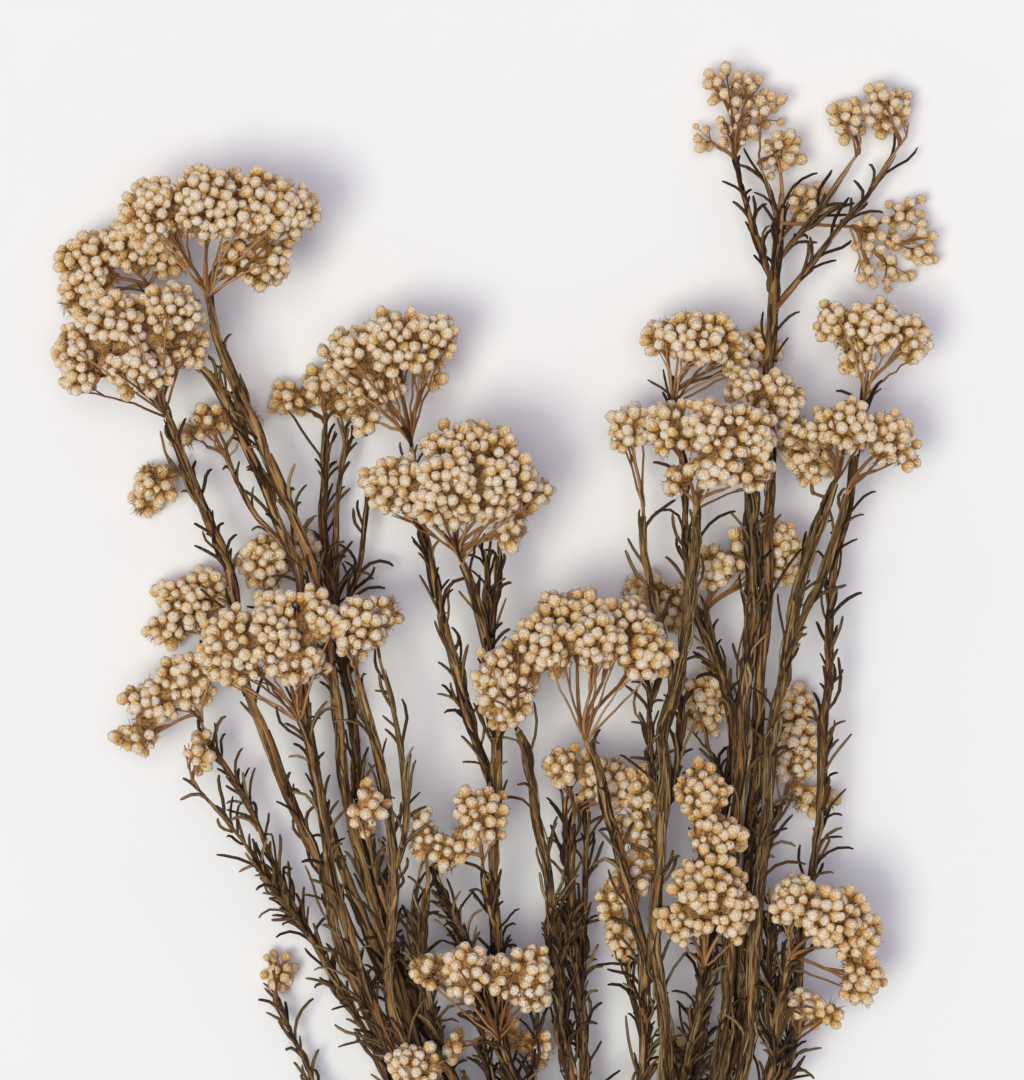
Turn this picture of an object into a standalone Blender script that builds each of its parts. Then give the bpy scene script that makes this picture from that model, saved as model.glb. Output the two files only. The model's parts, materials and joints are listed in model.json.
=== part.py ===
"""A bunch of dried rice flower, lying on its back with the flower heads towards +Y.

Twenty cut, leafy stems run up from a twine tie. Each forks into thin branchlets that carry
domed heads of small round buds. All sizes below are in millimetres, in a layout frame whose
X and Y follow the bunch as seen from above and whose Z is the height over the surface.
"""

import math

import bmesh
import bpy
import numpy as np
from mathutils import Vector
from mathutils.bvhtree import BVHTree

MM = 0.001
SEED = 7  # for the turns, lengths and spacing of the leaves

# Driving sizes of the bunch
CUT_Y = -75.0  # where the stems are cut
CUT_STAGGER = 6.0  # how far one cut end stands before or behind the mean
TIE_X, TIE_Y = -6.0, -30.0
TIE_WIDTH = 9.0
TIE_TURNS = 3  # turns of twine seen side by side
TWINE = 2.6  # thickness of the twine
TIE_SIDES = 16
SLOT_PITCH = 4.45  # from one stem to the next inside the tie
SLOT_STRAIGHT = 16.0  # half the length that the stems run straight in the tie
FANNED_Y = 118.0  # above this the stems follow their own routes
LEVEL = 4.0  # spacing of the levels at which the stems are settled
SETTLE_ROUNDS = 420
FINAL_ROUNDS = 40  # of these, the last ones only part the stems and no longer smooth them
STEM_GAP = 1.6  # room kept between two stems
TIE_GAP = 0.45  # room kept between two stems inside the tie
PRESSED = 0.8  # depth of the flat under the tie
HEAD_ROOM = 1.1  # room kept between a stem and a flower head
FLOOR_ROOM = 0.3  # room kept between a stem and the surface
OWN_HEAD = 18.0  # length at the top of a stem that may come near to its own head
STEM_SIDES, SHOOT_SIDES = 5, 4
ROUTE_ERROR = 1.0  # how far a straight stretch of stem may leave the smooth route

# Buds are drawn two to three times their real size, so that few of them cover a head
BUD_PITCHES = 9.0, 12.8  # from one bud to the next, on a small head and on a large one
HEAD_REACHES = 7.0, 16.0  # mean reach of a small head and of a large one
FEWEST_BUDS = 8
OUTLINE_RAYS = 1500  # directions in which the outline of a head is sounded
BUD_SHOULDERS = 4
BUD_SHOULDER = 0.55  # how far out on a bud its ring of shoulder points lies
VALLEY_DROP = 0.38  # depth of the valleys between buds, in bud pitches
LOOK_ROUND = 5.0  # how far from a head its neighbours are looked for
PRESS_GAP = 0.45  # half the room first kept between two heads that press on each other
DRAW_STEP = 0.035  # share of its reach by which a point of a head is drawn in at a time
DRAW_STEPS = 22
HEAD_GAP = 0.3  # least distance from a head to its neighbours in the end
PRESS_ROUNDS = 16
PRESS_STEP = 0.04  # share of its way to the middle that a bud is drawn in each round

TWIG_RADIUS = 1.0
BRANCHLETS = 4  # at most this many leave one fork
BRANCHLET_RADIUS = 0.8
BRANCHLET_GAP = 0.35  # from the end of a branchlet to the buds
BRANCHLET_STEP = 3.0  # from one branchlet to the next along the top of the stem
SHORTEST_BRANCHLET = 1.6
NEEDLE_LENGTH, NEEDLE_WIDTH = 11.0, 1.5
NEEDLE_SPACING = 37.0  # along a stem
NEEDLE_OUT, NEEDLE_ALONG = 0.62, 0.78  # how a leaf leans outwards and along its stem
NEEDLE_ROOM = 0.45
NEEDLE_TURN = 2.4  # from one leaf to the next round a stem, in radians
BARE_FOOT = 40.0  # length above the cut that bears no leaves

# Each stem: routes of (radius at the foot, radius at the top, points from the top down).
# The first route runs down into the tie, and the others join it at their last point.
# A point is (x, y) or (x, y, z); heights in between are filled in and then settled.
STEMS = (
    (  # 1, to the head at the top left
        (2.1, 1.5, ((-138, 386, 38), (-134, 370), (-126, 350), (-118, 332), (-111, 315), (-106, 303),
                    (-101, 290, 26), (-97, 262), (-95, 250), (-92, 220), (-88, 200), (-82, 180),
                    (-76, 160), (-70, 140), (-64, 118, 20))),
    ),
    (  # 2, to the head below it, with two low side heads
        (2.0, 1.4, ((-158, 388, 21), (-150, 376), (-145, 365), (-137, 358), (-131, 348, 26),
                    (-125, 335), (-119, 322), (-114, 308), (-108, 295, 30), (-106, 275), (-106, 255),
                    (-104, 235), (-100, 215), (-94, 195), (-87, 178), (-80, 160), (-72, 140),
                    (-66, 118, 10))),
        (1.1, 0.9, ((-133, 332, 13), (-128, 322), (-121, 310), (-110, 298))),
        (1.0, 0.9, ((-118, 284, 17), (-112, 275), (-106, 266))),
    ),
    (  # 3, to the wide head on the left, with two low side heads
        (2.0, 1.4, ((-153, 348, 28), (-150, 341), (-146, 330), (-141, 318), (-137, 308, 24),
                    (-133, 300), (-130, 290), (-128, 270), (-125, 253, 26), (-119, 240), (-115, 228),
                    (-110, 215), (-104, 202), (-98, 188), (-95, 172), (-90, 158), (-83, 142),
                    (-72, 118, 24))),
        (1.0, 0.9, ((-147, 327, 11), (-144, 321), (-138, 312))),
        (1.1, 0.9, ((-139, 271, 13), (-134, 265), (-126, 258))),
    ),
    (  # 4, dark stem with a small low head and two leafy shoots
        (2.0, 1.2, ((-99, 343, 12), (-99, 325), (-100, 310), (-98, 295, 14), (-96, 280), (-93, 262),
                    (-90, 245), (-88, 225), (-85, 205), (-82, 190), (-78, 172), (-72, 155), (-65, 138),
                    (-56, 118, 12))),
        (1.3, 0.9, ((-91, 341, 14), (-94, 325), (-95, 310), (-93, 292), (-92, 278))),
        (1.2, 0.8, ((-84, 322, 15), (-86, 305), (-87, 287), (-89, 272))),
    ),
    (  # 5, to the sharp head in the middle, the head behind it and a small one lower down
        (2.1, 1.4, ((-54, 299, 44), (-50, 290), (-47, 280), (-44, 268), (-42, 255), (-41, 238, 38),
                    (-41, 222), (-42, 200, 28), (-42, 185), (-41, 170), (-40, 150), (-37, 118, 24))),
        (2.0, 1.4, ((-70, 338, 31), (-68, 320), (-65, 303), (-62, 290), (-59, 275), (-55, 260),
                    (-52, 245), (-48, 232), (-43, 216))),
        (1.1, 0.9, ((-46, 198, 42), (-45, 186), (-42, 172))),
    ),
    (  # 6, to the long front head on the left
        (2.0, 1.4, ((-107, 245, 44), (-104, 238), (-101, 225), (-98, 205), (-96, 190), (-91, 175),
                    (-87, 160), (-83, 150), (-77, 135), (-69, 118, 34))),
    ),
    (  # 7, to the head on its right, with a leafy shoot and a small head
        (2.0, 1.3, ((-88, 261, 43), (-85, 248), (-82, 238), (-79, 225), (-77, 210), (-75, 195),
                    (-76, 180), (-77, 165), (-77, 150), (-72, 135), (-62, 118, 32))),
        (1.2, 0.9, ((-80, 264, 42), (-76, 250), (-74, 240), (-72, 225), (-71, 210), (-75, 192))),
        (1.0, 0.9, ((-83, 201, 42), (-81, 190), (-77, 176))),
    ),
    (  # 8, far left leafy stem, with its leafy twin and a thin low shoot
        (2.0, 1.1, ((-141, 244, 20), (-138, 236), (-131, 225), (-124, 213), (-118, 198), (-112, 185),
                    (-105, 172), (-97, 157), (-90, 145), (-84, 135), (-76, 118, 14))),
        (1.2, 0.9, ((-143, 222, 26), (-135, 213), (-125, 200), (-118, 190), (-112, 181), (-100, 165),
                    (-92, 154), (-80, 132))),
        (1.0, 0.8, ((-116, 147, 11), (-112, 140), (-107, 130), (-103, 120), (-90, 98), (-55, 56))),
    ),
    (  # 9, to the pair of small heads and the head at the lower edge
        (2.0, 1.2, ((-64, 191, 34), (-65, 180), (-66, 165), (-64, 150), (-61, 135), (-53, 118, 28))),
        (1.1, 0.9, ((-69, 118, 40), (-60, 106), (-51, 94))),
    ),
    (  # 10, to the four-part head at the lower middle
        (2.0, 1.2, ((-41, 139, 35), (-38, 130), (-33, 118, 34))),
    ),
    (  # 11, to the front head right of the middle, with a low head beside it
        (2.0, 1.4, ((-12, 238, 48), (-8, 230), (-5, 215), (-1, 203), (2, 190), (5, 178), (8, 165),
                    (8, 150), (8, 130), (6, 118, 32))),
        (1.1, 0.9, ((3, 157, 22), (5, 148), (8, 138))),
    ),
    (  # 12, dark stem left of it, with the small heads behind
        (2.0, 1.2, ((-36, 243, 38), (-33, 238), (-30, 225), (-28, 210), (-25, 198), (-23, 180),
                    (-21, 165), (-20, 150), (-18, 130), (-15, 118, 24))),
        (1.6, 1.2, ((-15, 212, 20), (-16, 200), (-16, 185), (-15, 165), (-13, 150), (-12, 135),
                    (-11, 104))),
    ),
    (  # 13, leafy stem in front, with the head at its left
        (2.0, 1.5, ((25, 315, 45), (25, 305), (24, 295), (23, 285), (21, 268), (17, 250), (14, 240),
                    (15, 228), (14, 210, 45), (13, 195), (12, 180), (11, 165), (14, 150), (15, 130),
                    (15, 118, 38))),
        (1.5, 1.1, ((8, 315, 24), (8, 300), (10, 290), (12, 275), (16, 254))),
    ),
    (  # 14, low stem behind, carrying three back heads
        (2.0, 1.2, ((29, 278, 18), (31, 270), (34, 260), (37, 248, 28), (38, 235), (36, 220), (34, 205),
                    (32, 190), (30, 170), (28, 150), (27, 130), (23, 118, 14))),
        (1.4, 1.1, ((18, 351, 26), (20, 338), (22, 322), (22, 303, 27), (23, 288, 28), (27, 272),
                    (34, 254))),
        (1.0, 0.8, ((30, 234, 11), (33, 228), (36, 218))),
    ),
    (  # 15, thick straight stem right of the middle
        (2.1, 1.8, ((45, 340, 30), (44, 318), (44, 300, 36), (44, 280), (42, 260), (41, 240), (40, 220),
                    (38, 205, 34), (37, 190), (37, 165), (35, 140), (32, 118, 28))),
    ),
    (  # 16, the tall dark stem to the loose heads at the top right
        (2.1, 1.7, ((55, 420, 15), (53, 400, 21), (52, 385), (51, 370, 24), (50, 358), (50, 345, 24),
                    (51, 330), (50, 315), (49, 300, 36), (49, 280), (47, 260), (46, 240), (45, 215),
                    (43, 200, 26), (42, 185), (41, 165), (40, 140), (35, 118, 20))),
        (1.3, 0.9, ((39, 432, 13), (42, 420), (46, 405), (52, 388))),
        (1.1, 0.9, ((47, 430, 19), (51, 420), (54, 408))),
        (1.2, 0.9, ((81, 434, 12), (75, 425), (66, 412), (54, 396))),
        (1.3, 0.9, ((95, 437, 13), (92, 432), (84, 420), (74, 408), (64, 395), (52, 380))),
    ),
    (  # 17, olive stem to the right head, with a shoot and a low back head
        (2.0, 1.4, ((73, 326, 36), (70, 318), (65, 305), (60, 290), (57, 275), (55, 262), (52, 245),
                    (50, 230), (49, 215), (48, 200, 38), (46, 185), (45, 170), (44, 150), (42, 130),
                    (39, 118, 34))),
        (1.5, 1.2, ((77, 322, 34), (73, 308), (70, 299), (66, 287), (62, 278), (56, 264))),
        (1.0, 0.8, ((56, 215, 9), (53, 210), (49, 198))),
    ),
    (  # 18, the right-most stem
        (2.0, 1.3, ((82, 353, 28), (80, 340), (78, 325, 26), (76, 312), (73, 300), (71, 285), (70, 270),
                    (70, 255, 28), (68, 240), (68, 225), (67, 210), (65, 195), (63, 180), (61, 165),
                    (60, 150), (57, 130), (53, 118, 22))),
    ),
    (  # 19, to the drooping head at the lower right
        (2.0, 1.1, ((56, 163, 36), (54, 152), (52, 140), (51, 128), (47, 118, 30))),
        (1.2, 0.9, ((60, 138, 26), (56, 125), (47, 106))),
    ),
    (  # 20, to the long front head in the lower middle right
        (2.0, 1.2, ((28, 161, 38), (27, 150), (24, 135), (20, 118, 26))),
        (1.0, 0.8, ((19, 123, 11), (18, 117), (14, 103))),
    ),
)

# Short thin side twigs that run across: (stem, start on it, end)
TWIGS = (
    (16, (54, 410, 18), (79, 409, 13)),
    (16, (54, 404, 20), (58, 409, 10)),
    (17, (70, 317, 35), (65, 319, 25)),
)

# Each head: where its branchlets part (one or more forks), and its lobes.
# A lobe is an ellipsoid: x, y, z and its three radii.
HEADS = (
    # 1 to 5: the big umbrella at the top left in two parts, the wide head below, two small ones
    (((-138, 386, 38),), ((-153, 412, 42, 13, 12, 13), (-137, 415, 46, 15, 13, 14),
                          (-119, 414, 45, 15, 13, 13), (-108, 413, 42, 9, 9, 10),
                          (-121, 397, 39, 13, 10, 9))),
    (((-158, 388, 21),), ((-178, 394, 20, 12, 13, 12), (-165, 401, 23, 12, 10, 12),
                          (-152, 398, 20, 8, 8, 9), (-183, 383, 16, 6, 6, 7))),
    (((-153, 348, 28),), ((-150, 379, 42, 13, 11, 12), (-167, 374, 42, 14, 12, 13),
                          (-179, 364, 38, 11, 13, 12), (-161, 361, 44, 14, 10, 12),
                          (-145, 369, 36, 8, 9, 9))),
    (((-133, 332, 13),), ((-139, 344, 10, 8, 7, 8), (-127, 345, 11, 7, 7, 8), (-146, 338, 8, 5, 5, 6))),
    (((-147, 327, 11),), ((-156, 322, 8, 8, 8, 9), (-160, 316, 5, 6, 5, 6))),
    # 6 to 8: left of the middle, a low one beside it, and the sharp head in the middle
    (((-70, 338, 31),), ((-90, 365, 32, 10, 10, 10), (-76, 369, 36, 12, 12, 12),
                         (-62, 371, 34, 9, 9, 10), (-82, 355, 32, 12, 10, 10),
                         (-64, 361, 28, 7, 8, 8), (-85, 344, 28, 6, 7, 7))),
    (((-99, 343, 12),), ((-110, 351, 8, 8, 7, 8), (-100, 354, 9, 9, 8, 10), (-93, 351, 8, 7, 7, 8))),
    (((-54, 299, 44),), ((-73, 321, 50, 14, 10, 12), (-57, 320, 58, 14, 14, 14),
                         (-41, 322, 54, 13, 14, 13), (-50, 334, 50, 18, 9, 12),
                         (-30, 319, 44, 8, 8, 9), (-37, 307, 46, 7, 7, 7))),
    # 9 to 14: the front row on the left and the low heads round it
    (((-139, 271, 13),), ((-146, 283, 10, 12, 10, 11), (-152, 274, 8, 8, 8, 9),
                          (-138, 286, 10, 8, 8, 9))),
    (((-107, 245, 44),), ((-128, 268, 48, 12, 14, 11), (-113, 273, 50, 12, 14, 12),
                          (-101, 278, 48, 9, 10, 11), (-107, 263, 50, 11, 8, 9))),
    (((-88, 261, 43),), ((-87, 275, 47, 10, 11, 10), (-78, 279, 45, 6, 7, 8))),
    (((-141, 244, 20),), ((-145, 256, 30, 11, 10, 10), (-157, 249, 28, 10, 9, 9),
                          (-161, 238, 25, 8, 7, 7))),
    (((-143, 222, 26),), ((-141, 232, 29, 5, 9, 6),)),
    (((-118, 284, 17),), ((-119, 296, 17, 9, 10, 9), (-107, 300, 14, 6, 8, 8))),
    # 15 to 19: the lower left
    (((-83, 201, 42),), ((-84, 214, 46, 6.5, 11, 7),)),
    (((-64, 191, 34), (-46, 198, 42)), ((-66, 205, 38, 6, 9, 7), (-57, 200, 39, 9, 8, 8),
                                        (-47, 211, 45, 10, 11, 9))),
    (((-41, 139, 35),), ((-51, 159, 44, 9, 11, 9), (-40, 158, 42, 8, 8, 7), (-30, 158, 43, 9, 12, 9),
                         (-65, 161, 42, 7, 7, 6))),
    (((-69, 118, 40),), ((-70, 129, 46, 9, 8, 7), (-62, 127, 44, 5, 6, 6))),
    (((-116, 147, 11),), ((-115, 157, 8, 7, 8, 8),)),
    # 20 and 21: the front head right of the middle and the small ones under it
    (((-12, 238, 48), (-36, 243, 38)), ((-37, 257, 52, 12, 14, 12), (-24, 268, 55, 13, 11, 13),
                                        (-8, 270, 57, 13, 10, 13), (7, 267, 52, 11, 11, 12),
                                        (-16, 279, 46, 13, 9, 11), (1, 277, 46, 11, 8, 11),
                                        (-40, 247, 48, 8, 7, 8))),
    (((-15, 212, 20),), ((-19, 228, 28, 7, 8, 7), (-9, 225, 26, 6, 8, 7), (-2, 221, 28, 6, 11, 8))),
    # 22 to 25: the loose heads at the top right
    (((39, 432, 13), (47, 430, 19), (55, 420, 15)), ((38, 456, 11, 11, 8, 9), (48, 448, 13, 9, 8, 8),
                                                     (41, 442, 13, 11, 8, 8), (54, 434, 14, 8, 10, 8),
                                                     (29, 439, 9, 5, 6, 6))),
    (((81, 434, 12), (95, 437, 13)), ((79, 446, 9, 8, 8, 8), (90, 449, 10, 10, 9, 10))),
    (((58, 409, 10),), ((64, 418, 8, 8, 8, 9),)),
    (((79, 409, 13),), ((86, 407, 9, 7, 8, 8), (92, 395, 7, 8, 7, 7), (85, 394, 7, 6, 6, 6),
                        (98, 412, 8, 8, 9, 8), (101, 402, 8, 7, 9, 8), (93, 405, 8, 7, 7, 7))),
    # 26 to 31: the upper right
    (((18, 351, 26),), ((15, 371, 28, 8, 8, 9), (28, 371, 32, 12, 10, 11), (37, 366, 25, 8, 9, 9),
                        (47, 367, 11, 9, 9, 9))),
    (((82, 353, 28),), ((72, 376, 30, 8, 8, 8), (85, 374, 34, 12, 10, 11), (97, 371, 30, 8, 10, 10),
                        (80, 364, 30, 7, 7, 8))),
    (((8, 315, 24),), ((3, 341, 27, 8, 9, 8),)),
    (((25, 315, 45),), ((17, 341, 44, 9, 10, 10), (29, 339, 50, 12, 12, 12), (42, 338, 50, 10, 12, 11),
                        (32, 328, 50, 12, 8, 9), (45, 326, 47, 8, 7, 8), (19, 322, 41, 6, 7, 6))),
    (((45, 340, 30),), ((42, 354, 37, 8, 7, 8), (53, 351, 37, 9, 9, 8))),
    (((73, 326, 36), (77, 322, 34), (65, 319, 25)), ((76, 341, 42, 10, 10, 10), (68, 338, 37, 8, 9, 9),
                                                     (89, 337, 36, 9, 10, 9), (94, 331, 33, 6, 6, 7),
                                                     (59, 338, 30, 9, 9, 9), (64, 330, 28, 9, 8, 9))),
    # 32 to 34: behind the straight stems
    (((29, 278, 18),), ((33, 294, 21, 8, 9, 9), (41, 300, 22, 6, 8, 8), (54, 298, 21, 8, 12, 9),
                        (46, 296, 19, 8, 7, 7), (9, 287, 9, 8, 7, 10), (19, 281, 10, 9, 9, 11))),
    (((30, 234, 11),), ((29, 249, 11, 9, 12, 12),)),
    (((56, 215, 9),), ((60, 247, 9, 7, 9, 9), (59, 233, 11, 10, 12, 12), (66, 216, 7, 9, 6, 7))),
    # 35 to 39: the lower right
    (((28, 161, 38),), ((27, 219, 46, 10, 11, 10), (32, 204, 48, 10, 11, 9), (27, 188, 50, 11, 11, 11),
                        (37, 182, 48, 8, 13, 10), (22, 177, 47, 10, 9, 10))),
    (((3, 157, 22),), ((8, 219, 30, 7, 9, 8), (6, 206, 29, 8, 9, 8), (7, 193, 29, 7, 10, 8),
                       (-2, 184, 28, 7, 9, 7), (1, 171, 28, 6, 9, 7))),
    (((56, 163, 36),), ((58, 184, 42, 9, 10, 10), (69, 179, 43, 13, 11, 11), (79, 172, 38, 9, 12, 10),
                        (80, 158, 34, 8, 10, 8))),
    (((60, 138, 26),), ((61, 147, 30, 9, 7, 8), (70, 145, 28, 5, 5, 6))),
    (((19, 123, 11),), ((18, 132, 7, 6, 7, 7),)),
)

FINISHES = {
    "stem": ((0.16, 0.085, 0.035, 1.0), 0.85),
    "bud": ((0.72, 0.58, 0.38, 1.0), 0.9),
    "twine": ((0.45, 0.33, 0.19, 1.0), 0.9),
}


def finish(kind):
    """The plain dry material of one kind of piece."""
    found = bpy.data.materials.get(kind)
    if found:
        return found
    color, roughness = FINISHES[kind]
    material = bpy.data.materials.new(kind)
    material.use_nodes = True
    shader = material.node_tree.nodes["Principled BSDF"]
    shader.inputs["Base Color"].default_value = color
    shader.inputs["Roughness"].default_value = roughness
    shader.inputs["Metallic"].default_value = 0.0
    return material


def smooth_through(ys, values, at):
    """A curve through the values at rising ys, with slopes from the neighbours on both sides."""
    slopes = np.gradient(values, ys) if len(ys) > 1 else np.zeros(1)
    index = np.clip(np.searchsorted(ys, at) - 1, 0, len(ys) - 2)
    span = ys[index + 1] - ys[index]
    t = np.clip((at - ys[index]) / span, 0, 1)
    rest = 1 - t
    return (values[index] * rest * rest * (1 + 2 * t) + values[index + 1] * t * t * (3 - 2 * t)
            + slopes[index] * span * t * rest * rest - slopes[index + 1] * span * t * t * rest)


def tie_slots(count):
    """The places of the stems in the tie: the points of a hexagonal grid nearest its middle."""
    row_height = SLOT_PITCH * math.sqrt(3) / 2
    grid = []
    for row in range(-4, 5):
        for column in range(-4, 5):
            x = (column + 0.5 * (row % 2) + 0.25) * SLOT_PITCH
            z = (row + 0.2) * row_height
            grid.append((math.hypot(x, z), x, z))
    chosen = sorted(grid)[:count]
    return [(x, z) for _, x, z in chosen], chosen[-1][0]


SLOTS, SLOT_REACH = tie_slots(len(STEMS))
BUNDLE_RADIUS = SLOT_REACH + max(stem[0][0] for stem in STEMS)
TIE_INNER = (BUNDLE_RADIUS + 0.35) / math.cos(math.pi / TIE_SIDES)
TIE_OUTER = TIE_INNER + TWINE
TIE_Z = TIE_OUTER - PRESSED  # the tie is pressed flat where it rests


def slots_for(feet):
    """Gives each stem a slot, so that stems keep their order from left to right and in height."""
    order = sorted(range(len(feet)), key=lambda i: feet[i][0])
    slots = sorted(SLOTS)
    given = {}
    for first in range(0, len(order), 4):
        stems = sorted(order[first:first + 4], key=lambda i: feet[i][1])
        places = sorted(slots[first:first + 4], key=lambda place: place[1])
        given.update(zip(stems, places))
    return given


class Route:
    """One stem or shoot, as its place and radius at each level of Y that it reaches."""

    def __init__(self, stem, main, radii, points):
        self.stem = stem
        self.main = main
        self.points = sorted(points, key=lambda point: point[1])
        self.ys = np.array([point[1] for point in self.points], float)
        self.top = self.points[-1]
        self.foot_y = CUT_Y + CUT_STAGGER * math.sin(2.4 * stem) if main else self.ys[0]
        self.radii = radii

    def aim(self, levels, slot, parent):
        """Fills in the wanted place at every level, before the stems settle against each other."""
        known = [(point[1], point[2]) for point in self.points if len(point) == 3]
        x = smooth_through(self.ys, np.array([point[0] for point in self.points], float), levels)
        if self.main:
            known_y, known_z = zip(*known)
            z = np.interp(levels, known_y, known_z)
            blend = np.clip((self.ys[0] - levels) / (self.ys[0] - TIE_Y - SLOT_STRAIGHT), 0, 1)
            slope = (self.points[1][0] - self.points[0][0]) / (self.ys[1] - self.ys[0])
            straight_on = self.points[0][0] - slope * (self.ys[0] - levels)
            ease = blend * blend * (3 - 2 * blend)
            keep = np.where(levels < self.ys[0], 1 - ease, 1.0)
            x = np.where(levels < self.ys[0], straight_on, x) * keep + (TIE_X + slot[0]) * (1 - keep)
            z = z * keep + (TIE_Z + slot[1]) * (1 - keep)
            splay = 1 + 0.006 * np.clip(TIE_Y - SLOT_STRAIGHT - levels, 0, None)
            x = np.where(levels < TIE_Y, TIE_X + slot[0] * splay, x)
            z = np.where(levels < TIE_Y, TIE_Z + slot[1], z)
        else:
            foot_z = np.interp(self.foot_y, levels, parent.z)
            known = [(self.foot_y, foot_z)] + [pair for pair in known if pair[0] > self.foot_y]
            known_y, known_z = zip(*known)
            z = np.interp(levels, known_y, known_z)
            miss = np.interp(self.foot_y, levels, parent.x) - self.points[0][0]
            fade = np.clip(1 - (levels - self.foot_y) / (0.6 * (self.top[1] - self.foot_y)), 0, 1)
            x = x + miss * fade * fade * (3 - 2 * fade)
        self.x, self.z = x, z
        along = np.clip((levels - self.foot_y) / (self.top[1] - self.foot_y), 0, 1)
        self.r = self.radii[0] + (self.radii[1] - self.radii[0]) * along
        self.active = (levels >= self.foot_y - 1e-6) & (levels <= self.top[1] + 1e-6)


def lobes_of(head):
    return np.array(head[1], float)


def settle(routes, levels):
    """Lifts and lowers the stems until each runs clear of the other stems and of the heads."""
    x = np.array([route.x for route in routes])
    z = np.array([route.z for route in routes])
    wanted = z.copy()
    wanted_x = x.copy()
    active = np.array([route.active for route in routes])
    slope = np.gradient(x, LEVEL, axis=1)
    r = np.array([route.r for route in routes]) * np.sqrt(1 + slope ** 2)
    stem = np.array([route.stem for route in routes])
    pinned = np.abs(levels - TIE_Y) <= SLOT_STRAIGHT
    first, second = np.triu_indices(len(routes), 1)
    apart = stem[first] != stem[second]
    first, second = first[apart], second[apart]
    both = active[first] & active[second]
    near_tie = np.clip((levels - TIE_Y - SLOT_STRAIGHT) / 60, 0, 1)
    gap = TIE_GAP + (STEM_GAP - TIE_GAP) * near_tie
    reach = r[first] + r[second] + gap
    free_x = (levels < FANNED_Y) & ~pinned
    walls = head_walls(routes, levels, x, wanted, r, active)
    for turn in range(SETTLE_ROUNDS):
        dx, dz = x[first] - x[second], z[first] - z[second]
        side = np.where(np.abs(dz) > 0.1, np.sign(dz), np.sign(wanted[first] - wanted[second] + 1e-3))
        need = np.sqrt(np.clip(reach ** 2 - dx ** 2, 0, None))
        lift = np.where(both, np.clip(need - side * dz, 0, None), 0) * side * 0.5
        distance = np.sqrt(dx ** 2 + dz ** 2) + 1e-6
        overlap = np.where(both, np.clip(reach - distance, 0, None), 0) * 0.5
        move_z = np.where(free_x, overlap * dz / distance, lift)
        move_x = np.where(free_x, overlap * dx / distance, 0)
        for place, move in ((z, move_z), (x, move_x)):
            push = np.zeros_like(place)
            np.add.at(push, first, move)
            np.add.at(push, second, -move)
            place += np.where(pinned, 0, np.clip(push, -1.2, 1.2))
        if turn < SETTLE_ROUNDS - FINAL_ROUNDS:
            for place, aim, strength in ((z, wanted, 0.012), (x, wanted_x, 0.02)):
                inner = active[:, 1:-1] & active[:, 2:] & active[:, :-2] & ~pinned[1:-1]
                if place is x:
                    inner = inner & free_x[1:-1]
                bend = place[:, :-2] + place[:, 2:] - 2 * place[:, 1:-1]
                place[:, 1:-1] += np.where(inner, 0.3 * bend, 0)
                loose = ~pinned & (free_x if place is x else True)
                place += np.where(loose, strength * (aim - place), 0)
        low, high = walls
        z[:] = np.where(pinned, z, np.minimum(np.maximum(z, low), high))
        for index, route in enumerate(routes):
            if not route.main:
                parent = route.parent
                joint = np.abs(levels - route.foot_y) <= LEVEL / 2
                z[index] = np.where(joint, z[parent], z[index])
                x[index] = np.where(joint, x[parent], x[index])
    for index, route in enumerate(routes):
        route.x, route.z = x[index], z[index]


def head_walls(routes, levels, x, wanted, r, active):
    """The lowest and highest height that each stem may have at each level, between the heads."""
    low = r + FLOOR_ROOM
    high = np.full_like(low, 1e3)
    for index, route in enumerate(routes):
        for head in HEADS:
            own = any(math.dist(fork, route.top) < 1 for fork in head[0])
            for cx, cy, cz, rx, ry, rz in lobes_of(head):
                pad = r[index] + HEAD_ROOM
                across = 1 - ((levels - cy) / (ry + pad)) ** 2
                across -= ((x[index] - cx) / (rx + pad)) ** 2
                half = (rz + pad) * np.sqrt(np.clip(across, 0, None))
                hit = active[index] & (half > 0)
                if own:
                    hit &= levels < route.top[1] - OWN_HEAD
                if not hit.any():
                    continue
                no_room_below = cz - half.max() < 2 * r[index].min()
                over = wanted[index][hit].mean() > cz or no_room_below
                if over:
                    low[index] = np.where(hit, np.maximum(low[index], cz + half), low[index])
                else:
                    high[index] = np.where(hit, np.minimum(high[index], cz - half), high[index])
    return low, np.maximum(high, low)


def simplified(points, radii, error):
    """Drops the points of a route that lie within the error of a straight stretch."""
    keep = [0, len(points) - 1]

    def split(start, end):
        if end - start < 2:
            return
        chord = points[end] - points[start]
        length = np.linalg.norm(chord) + 1e-9
        inner = points[start + 1:end] - points[start]
        off = np.linalg.norm(np.cross(inner, chord / length), axis=1)
        worst = int(off.argmax())
        if off[worst] > error:
            keep.append(start + 1 + worst)
            split(start, start + 1 + worst)
            split(start + 1 + worst, end)

    split(0, len(points) - 1)
    keep = sorted(set(keep))
    return points[keep], radii[keep]


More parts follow.
